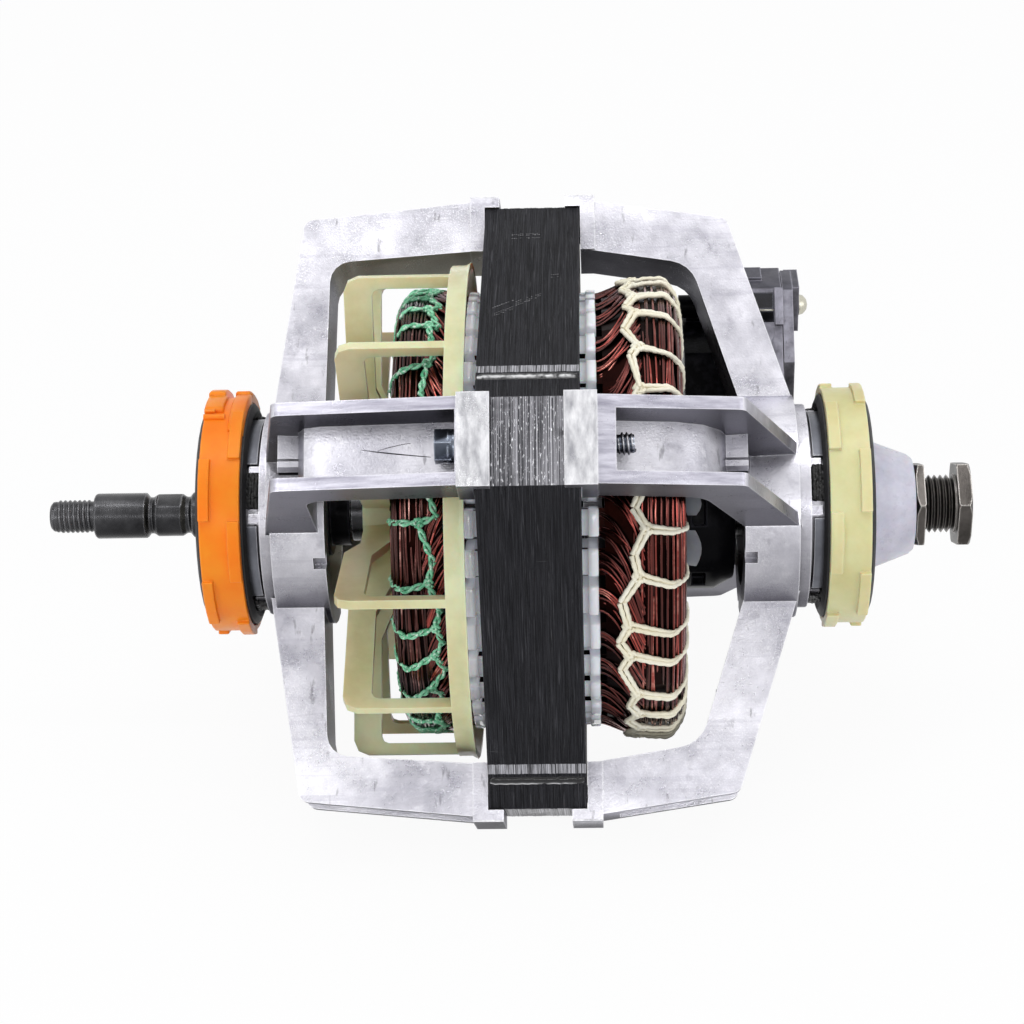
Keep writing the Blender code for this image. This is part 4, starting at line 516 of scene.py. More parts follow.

# %% [markdown]
# The end frames are die-cast aluminium. Molten metal leaves flow marks and a speckled skin, and a belt
# then sands the outer faces, so the silver is streaked. Stretched noise that is cut off at a level makes
# all these marks, because a picture of metal would repeat and need unwrapping. Both frames also get
# painted shade in hollows and on undersides, and a painted reflection on the faces towards the shaft.
# At the blower end that reflection is of the pale fan and the hollows are painted deeper, so the two
# frames differ a little.

# %% Cast aluminium
def aluminium(end, under, inner, hollow_shade):
    return finish(
        "cast_aluminium_" + end, (0.36, 0.355, 0.405), (0.83, 0.82, 0.88), (0.22, 0.42), stretch=even(55.0),
        limits=(0.30, 0.66), grain=(1700.0, 0.06), edge=((0.92, 0.92, 0.95), 0.6),
        streaks=(((0.90, 0.89, 0.93), 0.35, even(300.0), 0.58),
                 ((0.88, 0.88, 0.92), 0.30, (60.0, 900.0, 900.0), 0.67),
                 ((0.40, 0.39, 0.46), 0.32, (25.0, 420.0, 420.0), 0.56),
                 ((0.26, 0.25, 0.31), 0.40, even(150.0), 0.59),
                 ((0.11, 0.105, 0.12), 0.55, (420.0, 170.0, 60.0), 0.64)),
        speckle=((0.95, 0.95, 0.97), 0.35), pads=((0.34, 0.34, 0.37), (0.86, 0.86, 0.88)),
        rims=((0.34, 0.33, 0.40), (0.64, 0.63, 0.71)), under=under, inner=inner, hollow_shade=hollow_shade,
        Metallic=0.8, Specular_Tint=(0.42, 0.42, 0.45, 1.0), Specular_IOR_Level=0.25)


# After each end come its painted underside shade, its painted inward reflection and its painted hollow shade.
LOOKS["cast_aluminium"] = aluminium(
    "pulley", ((0.25, 0.245, 0.27), 0.85), ((0.030, 0.029, 0.030), 0.95),
    ((0.03, 0.028, 0.032), 0.9, 0.014, 0.88, 0.42))
LOOKS["blower_aluminium"] = aluminium(
    "blower", ((0.31, 0.305, 0.335), 0.88), ((0.30, 0.285, 0.225), 0.90),
    ((0.010, 0.009, 0.012), 1.0, 0.028, 0.92, 0.48))
print("aluminium for both end frames")

# %% [markdown]
# The core is stacked steel sheet under black varnish. It is bare where the corners were cleaned, and
# ground bright beside each weld. A stretch of about 3,000 per metre along x gives each thin sheet its
# own tone.

# %% Steel of the core
finish("lamination_steel", (0.002, 0.002, 0.003), (0.021, 0.021, 0.025), (0.40, 0.60),
       stretch=(3160.0, 60.0, 60.0), limits=(0.42, 0.60), grain=(1200.0, 0.02),
       edge=((0.16, 0.16, 0.17), 0.3),
       streaks=(((0.10, 0.10, 0.11), 0.55, (3000.0, 70.0, 70.0), 0.60),
                ((0.20, 0.20, 0.20), 0.6, (70.0, 1100.0, 1100.0), 0.73)),
       Metallic=0.0, IOR=1.3, Specular_IOR_Level=0.12)
finish("bare_laminations", (0.035, 0.035, 0.04), (0.58, 0.575, 0.62), (0.30, 0.5),
       stretch=(3160.0, 22.0, 22.0), limits=(0.40, 0.72), grain=(2400.0, 0.05),
       streaks=(((0.03, 0.03, 0.034), 0.75, even(70.0), 0.53),
                ((0.95, 0.95, 1.0), 0.9, (3000.0, 700.0, 700.0), 0.59)), Metallic=0.9)
finish("ground_strip", (0.06, 0.06, 0.065), (0.50, 0.50, 0.54), (0.25, 0.4), stretch=(3400.0, 70.0, 70.0),
       limits=(0.40, 0.58), grain=(2400.0, 0.05), Metallic=0.9)
print("steel of the core")

# %% [markdown]
# The other metals are turned, rolled or stamped. Turned steel shows rings, and its edges are bright
# where the black oxide has rubbed off. Bronze and brass are only in the bearings and terminals.

# %% Turned, rolled and stamped metal
# The hollows of these metals get painted shade.
finish("bolt_steel", (0.05, 0.06, 0.08), (0.17, 0.19, 0.24), (0.16, 0.30),
       edge=((0.50, 0.55, 0.64), 0.9), hollow_shade=((0.006, 0.006, 0.007), 0.5), Metallic=0.9)
finish("sleeve_steel", (0.13, 0.135, 0.16), (0.27, 0.28, 0.32), (0.30, 0.46), edge=((0.7, 0.7, 0.74), 0.6),
       hollow_shade=((0.02, 0.02, 0.02), 0.7), Metallic=0.85)
finish("thread_steel", (0.42, 0.42, 0.45), (0.72, 0.72, 0.75), (0.2, 0.35),
       hollow_shade=((0.01, 0.01, 0.01), 0.9), Metallic=0.95)
# The shaft is also painted darker on the faces that look down.
finish("shaft_steel", (0.020, 0.020, 0.022), (0.095, 0.095, 0.10), (0.20, 0.34), rings=2.0,
       grain=(1600.0, 0.03), edge=((0.45, 0.45, 0.47), 0.6), under=((0.012, 0.012, 0.013), 0.8),
       hollow_shade=((0.005, 0.005, 0.005), 0.8), Metallic=0.9)
finish("pulley_steel", (0.040, 0.036, 0.033), (0.13, 0.118, 0.110), (0.26, 0.42), rings=2.0,
       grain=(1600.0, 0.03), edge=((0.62, 0.59, 0.56), 0.85), hollow_shade=((0.008, 0.007, 0.006), 0.8),
       Metallic=0.92)
finish("zinc_steel", (0.48, 0.46, 0.38), (0.66, 0.64, 0.54), (0.22, 0.38),
       edge=((0.85, 0.84, 0.76), 0.6), Metallic=0.9)
finish("bearing_bronze", (0.42, 0.26, 0.10), (0.58, 0.38, 0.17), (0.35, 0.5), Metallic=0.9)
finish("brass", (0.58, 0.42, 0.18), (0.74, 0.56, 0.27), (0.22, 0.38), Metallic=0.92)
print("8 more metals")

# %% [markdown]
# The wire is copper under dark red enamel. The enamel is clear, so the metal below it gives the colour
# and a coat gives the shine; a painted highlight and glint run along each wire's crown, and painted shade
# fills the gaps. The blower end's wires lie in the fan's shade, so their copy of the finish is painted
# darker. Under the wires the bundle itself is painted nearly black, as painted shade.

# %% Enamelled wire
finish("copper", (0.004, 0.001, 0.001), (0.013, 0.003, 0.002), (0.25, 0.42), grain=(500.0, 0.05),
       hollow_shade=((0.003, 0.002, 0.002), 0.9), Metallic=1.0)
finish("enamel_wire", (0.010, 0.003, 0.002), (0.040, 0.007, 0.005), (0.10, 0.18), stretch=even(70.0),
       grain=(700.0, 0.01), shades=((0.44, 0.068, 0.050), 1.0, (1.0, 0.50, 0.40)),
       hollow_shade=((0.006, 0.002, 0.002), 0.95), Metallic=1.0, Coat_Weight=0.4, Coat_Roughness=0.1)
finish("dark_wire", (0.008, 0.003, 0.002), (0.026, 0.007, 0.005), (0.12, 0.22), stretch=even(70.0),
       grain=(700.0, 0.01), shades=((0.15, 0.038, 0.032), 1.0, (0.62, 0.36, 0.31)),
       hollow_shade=((0.005, 0.002, 0.002), 0.9), Metallic=1.0, Coat_Weight=0.3, Coat_Roughness=0.12)
print("wire for both ends")

# %% [markdown]
# Light goes a little way into pale plastic and comes out again, so the bands, the fan and the hub's
# cone have some subsurface scattering. The black switch has almost none, and dust and a painted sheen
# lie on its faces that look up. All get painted shade in their hollows, and the dusty parts also on their
# tops and undersides.

# %% Plastics
finish("orange_plastic", (1.0, 0.22, 0.004), (1.0, 0.31, 0.012), (0.30, 0.44), grain=(600.0, 0.05),
       edge=((1.0, 0.42, 0.08), 0.4), hollow_shade=((0.70, 0.09, 0.003), 0.5), Specular_IOR_Level=0.25,
       Subsurface_Weight=0.15, Subsurface_Scale=0.003)
finish("cream_plastic", (0.66, 0.60, 0.27), (0.82, 0.77, 0.43), (0.28, 0.44), stretch=even(40.0),
       grain=(500.0, 0.05), edge=((0.92, 0.90, 0.66), 0.5), hollow_shade=((0.42, 0.35, 0.13), 0.5),
       Subsurface_Weight=0.4, Subsurface_Scale=0.004)
finish("fan_plastic", (0.62, 0.59, 0.31), (0.81, 0.79, 0.50), (0.26, 0.42), stretch=even(45.0),
       grain=(500.0, 0.05), edge=((0.93, 0.92, 0.76), 0.3), hollow_shade=((0.55, 0.50, 0.26), 0.35),
       Subsurface_Weight=0.5, Subsurface_Scale=0.006)
finish("clear_nylon", (0.50, 0.49, 0.58), (0.72, 0.71, 0.80), (0.22, 0.36), stretch=even(90.0),
       grain=(700.0, 0.03), streaks=(((0.55, 0.52, 0.62), 0.35, (120.0, 500.0, 500.0), 0.66),),
       Subsurface_Weight=0.35, Subsurface_Scale=0.004)
# Dust and a painted sheen on the faces that look up.
finish("black_plastic", (0.002, 0.002, 0.003), (0.005, 0.005, 0.006), (0.22, 0.36), grain=(1100.0, 0.03),
       edge=((0.08, 0.08, 0.10), 0.6), dust=((0.16, 0.155, 0.19), 0.16), IOR=1.25, Specular_IOR_Level=0.10)
# Painted shade on the tops, undersides and hollows.
finish("dusty_plastic", (0.14, 0.135, 0.16), (0.60, 0.585, 0.68), (0.3, 0.5), stretch=even(240.0),
       limits=(0.26, 0.74), grain=(1100.0, 0.05), edge=((0.55, 0.54, 0.62), 0.6),
       streaks=(((0.05, 0.05, 0.06), 0.45, (1100.0, 260.0, 260.0), 0.62),),
       under=((0.006, 0.006, 0.008), 0.95), top=((0.03, 0.03, 0.04), 0.85),
       hollow_shade=((0.003, 0.003, 0.004), 0.9), Specular_IOR_Level=0.2)
finish("shiny_plastic", (0.006, 0.006, 0.009), (0.022, 0.022, 0.030), (0.12, 0.25), stretch=even(160.0),
       grain=(700.0, 0.03), edge=((0.30, 0.30, 0.36), 0.8), Specular_IOR_Level=0.4)
print("7 plastics")

# %% [markdown]
# Rubber is nearly black and rough, and it is rougher still where it has torn. Slot film is clear and
# stiff. It has a faint painted glow, which stands in for the light that comes through it from all sides.

# %% Rubber, felt and film
finish("black_rubber", (0.008, 0.008, 0.009), (0.020, 0.020, 0.022), (0.48, 0.72), grain=(1400.0, 0.08),
       dust=((0.50, 0.48, 0.45), 0.06))
finish("torn_rubber", (0.004, 0.004, 0.004), (0.016, 0.016, 0.017), (0.3, 0.6), grain=(900.0, 0.5),
       streaks=(((0.30, 0.30, 0.32), 0.7, even(900.0), 0.64),))
finish("felt", (0.30, 0.27, 0.20), (0.46, 0.42, 0.33), (0.9, 1.0), grain=(2500.0, 0.3))
finish("film", (0.36, 0.36, 0.40), (0.56, 0.56, 0.61), (0.12, 0.3), Alpha=0.75, Subsurface_Weight=0.2)
# The emission is a painted glow.
finish("slot_liner", (0.82, 0.85, 0.92), (0.97, 0.98, 1.0), (0.08, 0.20), grain=(300.0, 0.05),
       edge=((1.0, 1.0, 1.0), 0.8), Subsurface_Weight=0.3, Subsurface_Scale=0.002, Coat_Weight=0.6,
       Emission_Color=(0.9, 0.92, 1.0, 1.0), Emission_Strength=0.10)
print("rubber, felt and film")

# %% [markdown]
# The lacing is waxed cord: cream at the pulley end, and green with a pale fleck at the blower end, with
# painted shade in its hollows. Wet varnish covers the welds, with a painted highlight along each bead.
# A tool's scratch is dark, and a chalk stroke is pale and dry.

# %% Cords, varnish and small marks
finish("cream_cord", (0.90, 0.84, 0.62), (0.99, 0.95, 0.78), (0.5, 0.7), grain=(1800.0, 0.10),
       shades=((1.0, 0.99, 0.88), 0.5), hollow_shade=((0.50, 0.40, 0.24), 0.35))
finish("green_cord", (0.08, 0.44, 0.22), (0.34, 0.84, 0.54), (0.45, 0.65), stretch=even(420.0),
       grain=(1800.0, 0.10), streaks=(((0.86, 0.97, 0.86), 0.85, even(1300.0), 0.53),
                                      ((0.01, 0.13, 0.05), 0.8, even(1000.0), 0.57)),
       hollow_shade=((0.01, 0.08, 0.03), 0.7))
# The white spark is a painted highlight along the bead's crown.
finish("wet_varnish", (0.003, 0.003, 0.003), (0.007, 0.007, 0.008), (0.08, 0.18), grain=(260.0, 0.35),
       shades=((0.012, 0.012, 0.014), 1.0, (1.0, 1.0, 1.0), 0.40, 13.0), Specular_IOR_Level=0.4)
finish("scratch", (0.015, 0.015, 0.018), (0.10, 0.10, 0.11), (0.4, 0.6))
finish("chalk", (0.16, 0.16, 0.165), (0.46, 0.46, 0.47), (0.7, 0.9), stretch=even(900.0))
print("cords, varnish, scratch and chalk")

# %% [markdown]
# The solid parts name their material, so each takes the finish of that name. Four parts are special:
# the fan is thinner and paler than the other cream plastic, the blower frame has its own aluminium, and
# two parts of the switch are dusty.

# %% Give each part its finish
SPECIAL = {"cage_fan": "fan_plastic", "blower_end_frame": "blower_aluminium", "switch_cover": "dusty_plastic",
           "terminal_block": "dusty_plastic"}
for obj in nodes.values():
    for part in obj.material_slots:
        key = part.material.name.split(".")[0] if part.material else ""
        if key in LOOKS:
            part.material = LOOKS[SPECIAL.get(obj.name, key)]
print(sorted({part.material.name for obj in nodes.values() for part in obj.material_slots}))

# %% [markdown]
# The core is a stack of thin sheets, stamped one by one and welded along grooves in their edges. The
# sheets never line up perfectly. One block with stripes could stand for them from afar, but here each
# sheet is drawn on its own with a tiny random size, so their edges catch the light one by one. The
# corners between the frame's pads are bare, and a strip beside each weld is ground bright.

# %% Outline of a sheet
FLAT_HALF, CORNER_HALF_WIDTH = 67.6, 11.3
WELD_OFFSET, WELD_WIDTH, WELD_DEPTH = 9.7, 2.4, 0.7
corner = FLAT_HALF - CORNER_HALF_WIDTH * math.sqrt(2)
groove = WELD_OFFSET - corner
side = [(corner, FLAT_HALF), (groove + 5.6, FLAT_HALF), (groove + 2.4, FLAT_HALF),
        (groove + WELD_WIDTH / 2, FLAT_HALF), (groove + WELD_WIDTH / 4, FLAT_HALF - WELD_DEPTH),
        (groove - WELD_WIDTH / 4, FLAT_HALF - WELD_DEPTH), (groove - WELD_WIDTH / 2, FLAT_HALF),
        (-corner, FLAT_HALF)]
outline = []
for turn in range(4):
    quarter = Matrix.Rotation(math.radians(90 * turn), 2)
    outline += [quarter @ Vector(point) for point in side]
print(len(outline), "points round a sheet, with a groove at", round(groove, 1), "mm")

# %% [markdown]
# Each sheet is a skin of four rings: both its faces, drawn in a little, and the edge between them.
# Counted from 0 round a quarter of the outline, edge 7 is the bare corner and edge 1 the ground strip.

# %% Stator laminations
STACK_HALF, SHEETS, SHEET_GAP = 13.1, 46, 0.07
PROUD, UNEVEN, SHIFT, INNER_SCALE = 0.10, 0.045, 0.03, 0.985
VARNISHED, BARE, GROUND = 0, 1, 2
random.seed(7)
sheets = Strands()
pitch = 2 * STACK_HALF / SHEETS
for sheet in range(SHEETS):
    low = -STACK_HALF + sheet * pitch + SHEET_GAP / 2
    high = low + pitch - SHEET_GAP
    proud = 1 + (PROUD + random.uniform(-UNEVEN, UNEVEN)) / FLAT_HALF
    shift = Vector((random.uniform(-SHIFT, SHIFT), random.uniform(-SHIFT, SHIFT)))
    sheets.skin([[at(x, point.x * scale + shift.x, point.y * scale + shift.y) for point in outline]
                 for x, scale in ((low, INNER_SCALE), (low, proud), (high, proud), (high, INNER_SCALE))],
                0.0, caps=False)
kind_of = {7: BARE, 1: GROUND}
kinds = [kind_of.get(face % len(side), VARNISHED) for face in range(len(sheets.faces))]
mesh_piece("stator_laminations", sheets.verts, sheets.faces,
           [LOOKS["lamination_steel"], LOOKS["bare_laminations"], LOOKS["ground_strip"]],
           "frame", kinds, 30)
print(SHEETS, "sheets,", len(sheets.faces), "faces")

# %% [markdown]
# A bead of weld fills each groove and holds the sheets. It could be sculpted, but a tube whose radius
# wanders, as it does with the speed of the hand, looks the same at this size. It thins out at both
# ends, and its shine on the black varnish is a painted highlight along its crown.

# %% Weld beads
BEAD_HALF, BEAD_RADIUS, BEAD_STEPS = 12.6, 1.38, 65
beads = Strands()
for turn in range(4):
    quarter = Matrix.Rotation(math.radians(90 * turn), 2)
    points, sizes = [], []
    for step in range(BEAD_STEPS + 1):
        x = -BEAD_HALF + 2 * BEAD_HALF * step / BEAD_STEPS
        ripple = noise.noise(Vector((x * 0.9, turn * 9.0, 0.0)))
        y, z = quarter @ Vector((groove + 0.12 * ripple, FLAT_HALF - 0.5))
        points.append(at(x, y, z))
        taper = min(1.0, 0.75 + (BEAD_HALF - abs(x)) / 6)
        sizes.append((BEAD_RADIUS + 0.05 * math.sin(x * 2.2 + turn) + 0.10 * ripple) * MM * taper)
    # The heart and a full shade paint a highlight along the bead's crown.
    beads.tube(points, sizes, 16, heart=lambda point: CENTRE * MM, shade=1.0)
beads.piece("weld_beads", LOOKS["wet_varnish"], "frame")

# %% [markdown]
# Each slot is lined with a folded film, and the cuff of the film stands out past the core, so the
# wire can't rub on the sharp steel. There is one cuff at each end of each of the 36 slots. They could be
# copies of one cuff, but no two folds are alike, so each is skinned anew with a small wobble.

# %% Slot cuffs
SLOTS, CUFF_TOP, CUFF_FOOT = 36, 60.5, 46.0
WIDE_SLOTS, WIDE_HALF, NARROW_HALF = (0, 4, 5, 8), 4.1, 3.65
CUFF_RINGS = ((12.9, -0.4), (14.5, -0.4), (14.7, 0.05), (14.9, 0.2), (17.0, 0.2), (17.25, 0.0), (17.35, -0.8))
liners = Strands()


def cuff(end, angle, width):
    """A folded film with round shoulders: rings of an upside-down U, from the core outward."""
    wobble = random.uniform(-0.3, 0.3)
    rings = []
    for x, grow in CUFF_RINGS:
        outer, half = CUFF_TOP + grow + wobble * 0.5, width + grow * 0.5
        shoulder = [(0.86, CUFF_FOOT), (1.0, 52.0), (1.0, outer - 1.4), (0.97, outer - 0.5),
                    (0.88, outer - 0.1), (0.45, outer)]
        ring = [(-half * share, z) for share, z in shoulder]
        ring += [(half * share, z) for share, z in shoulder[::-1]]
        rings.append([around_shaft(end * (x + wobble * 0.5), math.hypot(y, z),
                                   angle + math.degrees(math.atan2(y, z))) for y, z in ring])
    liners.skin(rings, random.random())


for end in (-1, 1):
    for index in range(SLOTS):
        cuff(end, 360 / SLOTS * index, WIDE_HALF if index % 9 in WIDE_SLOTS else NARROW_HALF)
liners.piece("slot_cuffs", LOOKS["slot_liner"], "frame")

# %% [markdown]
# The end turns are hundreds of enamelled wires pulled round by a winding machine. They run mostly
# side by side but cross here and there. A bundle's section is a line of (x, reach) marks, and the
# wires' places are counted off along it.

# %% Places of the wires
WIRE = 0.44
SPACING = WIRE * 1.93
RIGHT_FACE = [(26.5, 61.3), (31.0, 62.5), (36.2, 62.2), (38.4, 60.2), (39.4, 57.0), (39.4, 49.0),
              (37.8, 46.0), (34.0, 44.9)]
LEFT_FACE = [(-26.0, 60.3), (-31.0, 60.6), (-33.6, 60.0), (-35.3, 58.2), (-36.0, 55.5), (-36.0, 49.0),
             (-34.6, 46.0), (-31.0, 44.9)]


def bundle_path(marks):
    """Evenly spaced places over a bundle's section: x, reach, and the section's slope in both."""
    places, left = [], 0.0
    for (x0, r0), (x1, r1) in zip(marks, marks[1:]):
        length = math.hypot(x1 - x0, r1 - r0)
        while left < length:
            t = left / length
            places.append((x0 + (x1 - x0) * t, r0 + (r1 - r0) * t, (r1 - r0) / length, (x1 - x0) / length))
            left += SPACING
        left -= length
    return places


print(len(bundle_path(RIGHT_FACE)), "wires side by side on the right")
print(len(bundle_path(LEFT_FACE)), "wires side by side on the left")

# %% [markdown]
# A wire's place is then counted in wires along that line, and it may lie a little in or out of the
# bundle. The middle of the ring nearest to it is its heart, which tells the wire where its crown is, the
# side that is painted bright.

# %% A wire on the bundle
def on_bundle(places, where, out, end):
    """The x and reach at a place counted in wires along the section, moved out of the bundle."""
    low = int(max(0, min(len(places) - 2, math.floor(where))))
    part = min(max(where - low, 0.0), 1.0)
    x, reach = (a * (1 - part) + b * part for a, b in zip(places[low][:2], places[low + 1][:2]))
    rise, run = places[low][2:]
    if abs(rise) > 0.3:
        x += -rise * out * end * (1 if run * end >= 0 else -1)
    return x, reach + abs(run) * out


def ring_heart(point):
    """The middle of the wire ring nearest to a point, so that a wire knows which side is its painted bright
    crown.
    """
    centre = CENTRE * MM
    spoke = Vector((0.0, point.y - centre.y, point.z - centre.z)).normalized()
    return centre + spoke * 50 * MM + Vector((math.copysign(27, point.x - centre.x) * MM, 0.0, 0.0))


print("the first wire on the right lies at", on_bundle(bundle_path(RIGHT_FACE), 0, 0.0, 1), "mm")

# %% [markdown]
# Each visible wire is drawn as an arc that lies on the bundle, drifts over a neighbour or two, and
# dives under them at both ends. The next arc starts before the last one is quite gone. Hair curves could
# draw the wires too, but meshes go into every program, and an arc that ends below others needs no joint.

# %% End turns
DRIFT, DIVE = 1.3, 1.5


def wind(wires, marks, end, seed):
    random.seed(seed)
    places = bundle_path(marks)
    for index in range(len(places)):
        start, reached = random.uniform(0, 360), 0.0
        while reached < 360:
            sweep = random.uniform(55, 115)
            drift = random.gauss(0, DRIFT)
            lift = random.uniform(-0.25, 0.3)
            steps = max(8, int(sweep / (2.6)))
            points = []
            for step in range(steps + 1):
                t = step / steps
                where = index + drift * math.sin(math.pi * t) + random.uniform(-0.05, 0.05)
                out = lift - DIVE * (1 - min(1.0, 5 * min(t, 1 - t))) ** 2
                points.append(around_shaft(*on_bundle(places, where, out, end), start + reached + sweep * t))
            # Each wire gets a painted highlight on its crown.
            wires.tube(points, WIRE * MM, 6, caps=False, heart=ring_heart)
            reached += sweep * random.uniform(0.86, 0.97)


right = Strands()
wind(right, RIGHT_FACE, 1, 11)
right.piece("right_end_turns", LOOKS["enamel_wire"], "frame")
left = Strands()
wind(left, LEFT_FACE, -1, 12)
left.piece("left_end_turns", LOOKS["dark_wire"], "frame")

# %% [markdown]
# Between the slots and the bundle the wires fan out. A coil leaves its slot as a flat bunch and leans
# over its neighbours before it joins the ring. The same tubes draw it, because it is the same wire.

# %% Coil sides
COIL_STEPS, SLOT_MOUTH = 12, 16.6
coils = Strands()
random.seed(21)
for end, reach_in, reach_out, join in ((1, 59.3, 61.8, 29.0), (-1, 59.0, 60.2, -28.0)):
    for index in range(SLOTS):
        angle = 360 / SLOTS * index
        lean = 1 if 48 < angle < 228 else -1
        for wire_index in range(13):
            spread = random.uniform(-3.4, 3.4)
            depth = random.uniform(0, 4.5) * (wire_index % 3) / 2
            swing = lean * random.uniform(9, 24)
            climb = reach_out - reach_in + depth * 0.6
            points = []
            for step in range(COIL_STEPS + 1):
                t = step / COIL_STEPS
                ease = t * t * (3 - 2 * t)
                x = end * SLOT_MOUTH + (join - end * SLOT_MOUTH) * (t**0.8) + random.uniform(-0.06, 0.06)
                reach = reach_in - depth + climb * ease + 1.2 * math.sin(math.pi * t)
                points.append(around_shaft(x, reach, angle + spread * (1 - 0.3 * t) + swing * t**1.7))
            # These wires also get a painted highlight on their crowns.
            coils.tube(points, WIRE * MM, 6, caps=False, heart=ring_heart)
coils.piece("coil_sides", LOOKS["enamel_wire"], "frame")

# %% [markdown]
# A worker laces the bundle with cord before it is dipped in varnish. The cord is two strands that turn
# over each other, slowly on the cream one and tightly on the green one. A simulated rope would find a
# way of its own, but the photograph shows where each knot lies, so the cord is laid along marks.

# %% A cord on the bundle
CORD_STEP = 0.6


def lay(cord, marks, radius, twist):
    """Two strands side by side along (x, reach, angle) marks, one full turn in each twist."""
    path = smooth_path([around_shaft(*mark) for mark in marks], CORD_STEP)
    start = random.uniform(-0.4, 0.4)
    for strand in range(2):
        points, sizes = [], []
        for index, point in enumerate(path):
            along = (path[min(index + 1, len(path) - 1)] - path[max(index - 1, 0)]).normalized()
            out = Vector((0.0, point.y, point.z - CENTRE.z * MM)).normalized()
            across = along.cross(out).normalized()
            turn = start + math.tau * index * CORD_STEP / twist + math.pi * strand
            points.append(point + (across * math.cos(turn) * 1.15 + out * math.sin(turn) * 0.6) * radius * MM)
            sizes.append(radius * MM * (1.08 + 0.14 * math.sin(index * 1.7 + strand * 2.0)))
        cord.tube(points, sizes, 6)


def section(face, x):
    """The bundle's reach at x, from its outer face."""
    marks = sorted((abs(a), r) for a, r in face if r > 57.5)
    x = abs(x)
    if x <= marks[0][0]:
        return marks[0][1] - 0.12 * (marks[0][0] - x)
    for (x0, r0), (x1, r1) in zip(marks, marks[1:]):
        if x <= x1:
            return r0 + (r1 - r0) * (x - x0) / (x1 - x0)
    return marks[-1][1]


print("the bundle reaches", round(section(RIGHT_FACE, 30.0), 1), "mm at x = 30")

# %% [markdown]
# The cord takes a strap over the bundle, knots, and steps to the next strap, which leaves a zigzag.
# Each lacing has its own lifts off the wires, the x where its straps turn over the bundle's edge, and
# the two reaches of that turn.

# %% Straps, chain and knots
CREAM = {"radius": 0.60, "twist": 60.0, "strap": 1.0, "chain": 1.8, "knot": 1.6, "edge": 36.0,
         "turn": (60.6, 57.0)}
GREEN = {"radius": 0.46, "twist": 6.5, "strap": 0.75, "chain": 0.9, "knot": 1.0, "edge": -33.2,
         "turn": (59.0, 55.6)}


def lace(cord, face, knots, end, way):
    """Straps from each (x, angle, strap angle) knot over the bundle, and the chain between knots."""
    rim = max(abs(a) for a, r in face) * end
    strapped = [knot for knot in knots if knot[2] is not None]
    size = way["radius"], way["twist"]
    for x, angle, strap in strapped:
        over = [(x, section(face, x) + way["strap"], angle)]
        for t in (0.35, 0.7, 1.0):
            px = x + (way["edge"] - x) * t
            over.append((px, section(face, px) + way["strap"], angle + (strap - angle) * t))
        over += [(rim - end * 1.2, way["turn"][0], strap), (rim + end * 0.45, way["turn"][1], strap),
                 (rim + end * 0.5, 50.0, strap), (rim - end * 1.5, 46.0, strap)]
        lay(cord, over, *size)
    for before, after in zip(knots, knots[1:]):
        marks = []
        for t in (0.0, 0.5, 1.0):
            px = before[0] + (after[0] - before[0]) * t
            marks.append((px, section(face, px) + way["chain"], before[1] + (after[1] - before[1]) * t))
        lay(cord, marks, *size)
    for x, angle, strap in strapped:
        height = section(face, x) + way["knot"]
        turns = [math.tau * step / 6 for step in range(7)]
        lay(cord, [(x + 0.8 * math.cos(turn), height, angle + 0.7 * math.sin(turn)) for turn in turns], *size)


print("straps, chain and knots ready")

# %% [markdown]
# The knots on the side that the photograph shows have places of their own. On the far side they follow
# in an even row. A knot without a strap angle is only a bend of the chain.

# %% Lacing
SEEN_RIGHT = [
    (28.0, -7.2, -7.2), (25.3, -1.7, None), (27.9, 1.3, 3.5), (24.8, 8.3, None), (28.4, 15.0, 17.4),
    (26.5, 17.6, None), (28.6, 27.6, 27.5), (25.0, 34.0, None), (28.0, 40.0, 40.5), (25.5, 46.0, None),
    (28.6, 52.7, None), (26.5, 56.6, None), (29.7, 61.4, 62.1), (26.3, 67.6, None), (27.6, 72.8, 74.9),
    (23.1, 79.4, None), (24.9, 85.9, 87.6), (22.4, 90.4, None), (25.3, 94.5, 96.2), (23.0, 98.8, None),
    (27.1, 107.7, 108.8), (25.0, 113.0, None), (27.5, 117.0, 117.5)]
SEEN_LEFT = [
    (-28.0, -14.0, -14.0), (-24.0, -6.7, None), (-27.5, -5.5, -6.0), (-24.2, 4.2, None), (-27.0, 3.0, 3.1),
    (-25.1, 15.3, None), (-26.9, 17.7, 19.5), (-28.2, 26.6, None), (-26.0, 34.0, 34.0), (-24.5, 43.0, None),
    (-27.0, 50.0, 50.0), (-24.2, 58.1, None), (-29.0, 59.5, 59.4), (-25.3, 68.9, None), (-26.7, 74.5, 76.2),
    (-23.9, 81.5, None), (-25.4, 86.6, 89.1), (-23.6, 90.6, None), (-26.1, 94.9, 99.7), (-23.2, 99.6, None),
    (-27.6, 106.8, 112.0), (-24.8, 109.0, None), (-27.0, 124.7, 124.7)]


def rest_of_ring(seen, end, seed):
    """Regular knots on the side away from the front, about nine degrees apart."""
    random.seed(seed)
    knots, angle = [], seen[-1][1] + 5
    while angle < seen[0][1] + 360 - 5:
        knots.append((end * random.uniform(23.5, 25.0), angle, None))
        angle += random.uniform(4.0, 5.0)
        knots.append((end * random.uniform(26.8, 28.2), angle, angle + random.uniform(-1, 1)))
        angle += random.uniform(4.0, 5.0)
    return seen + knots + [(seen[0][0], seen[0][1] + 360, None)]


cream = Strands()
lace(cream, RIGHT_FACE, rest_of_ring(SEEN_RIGHT, 1, 5), 1, CREAM)
cream.piece("cream_lacing", LOOKS["cream_cord"], "frame")
green = Strands()
lace(green, LEFT_FACE, rest_of_ring(SEEN_LEFT, -1, 6), -1, GREEN)
green.piece("green_lacing", LOOKS["green_cord"], "frame")

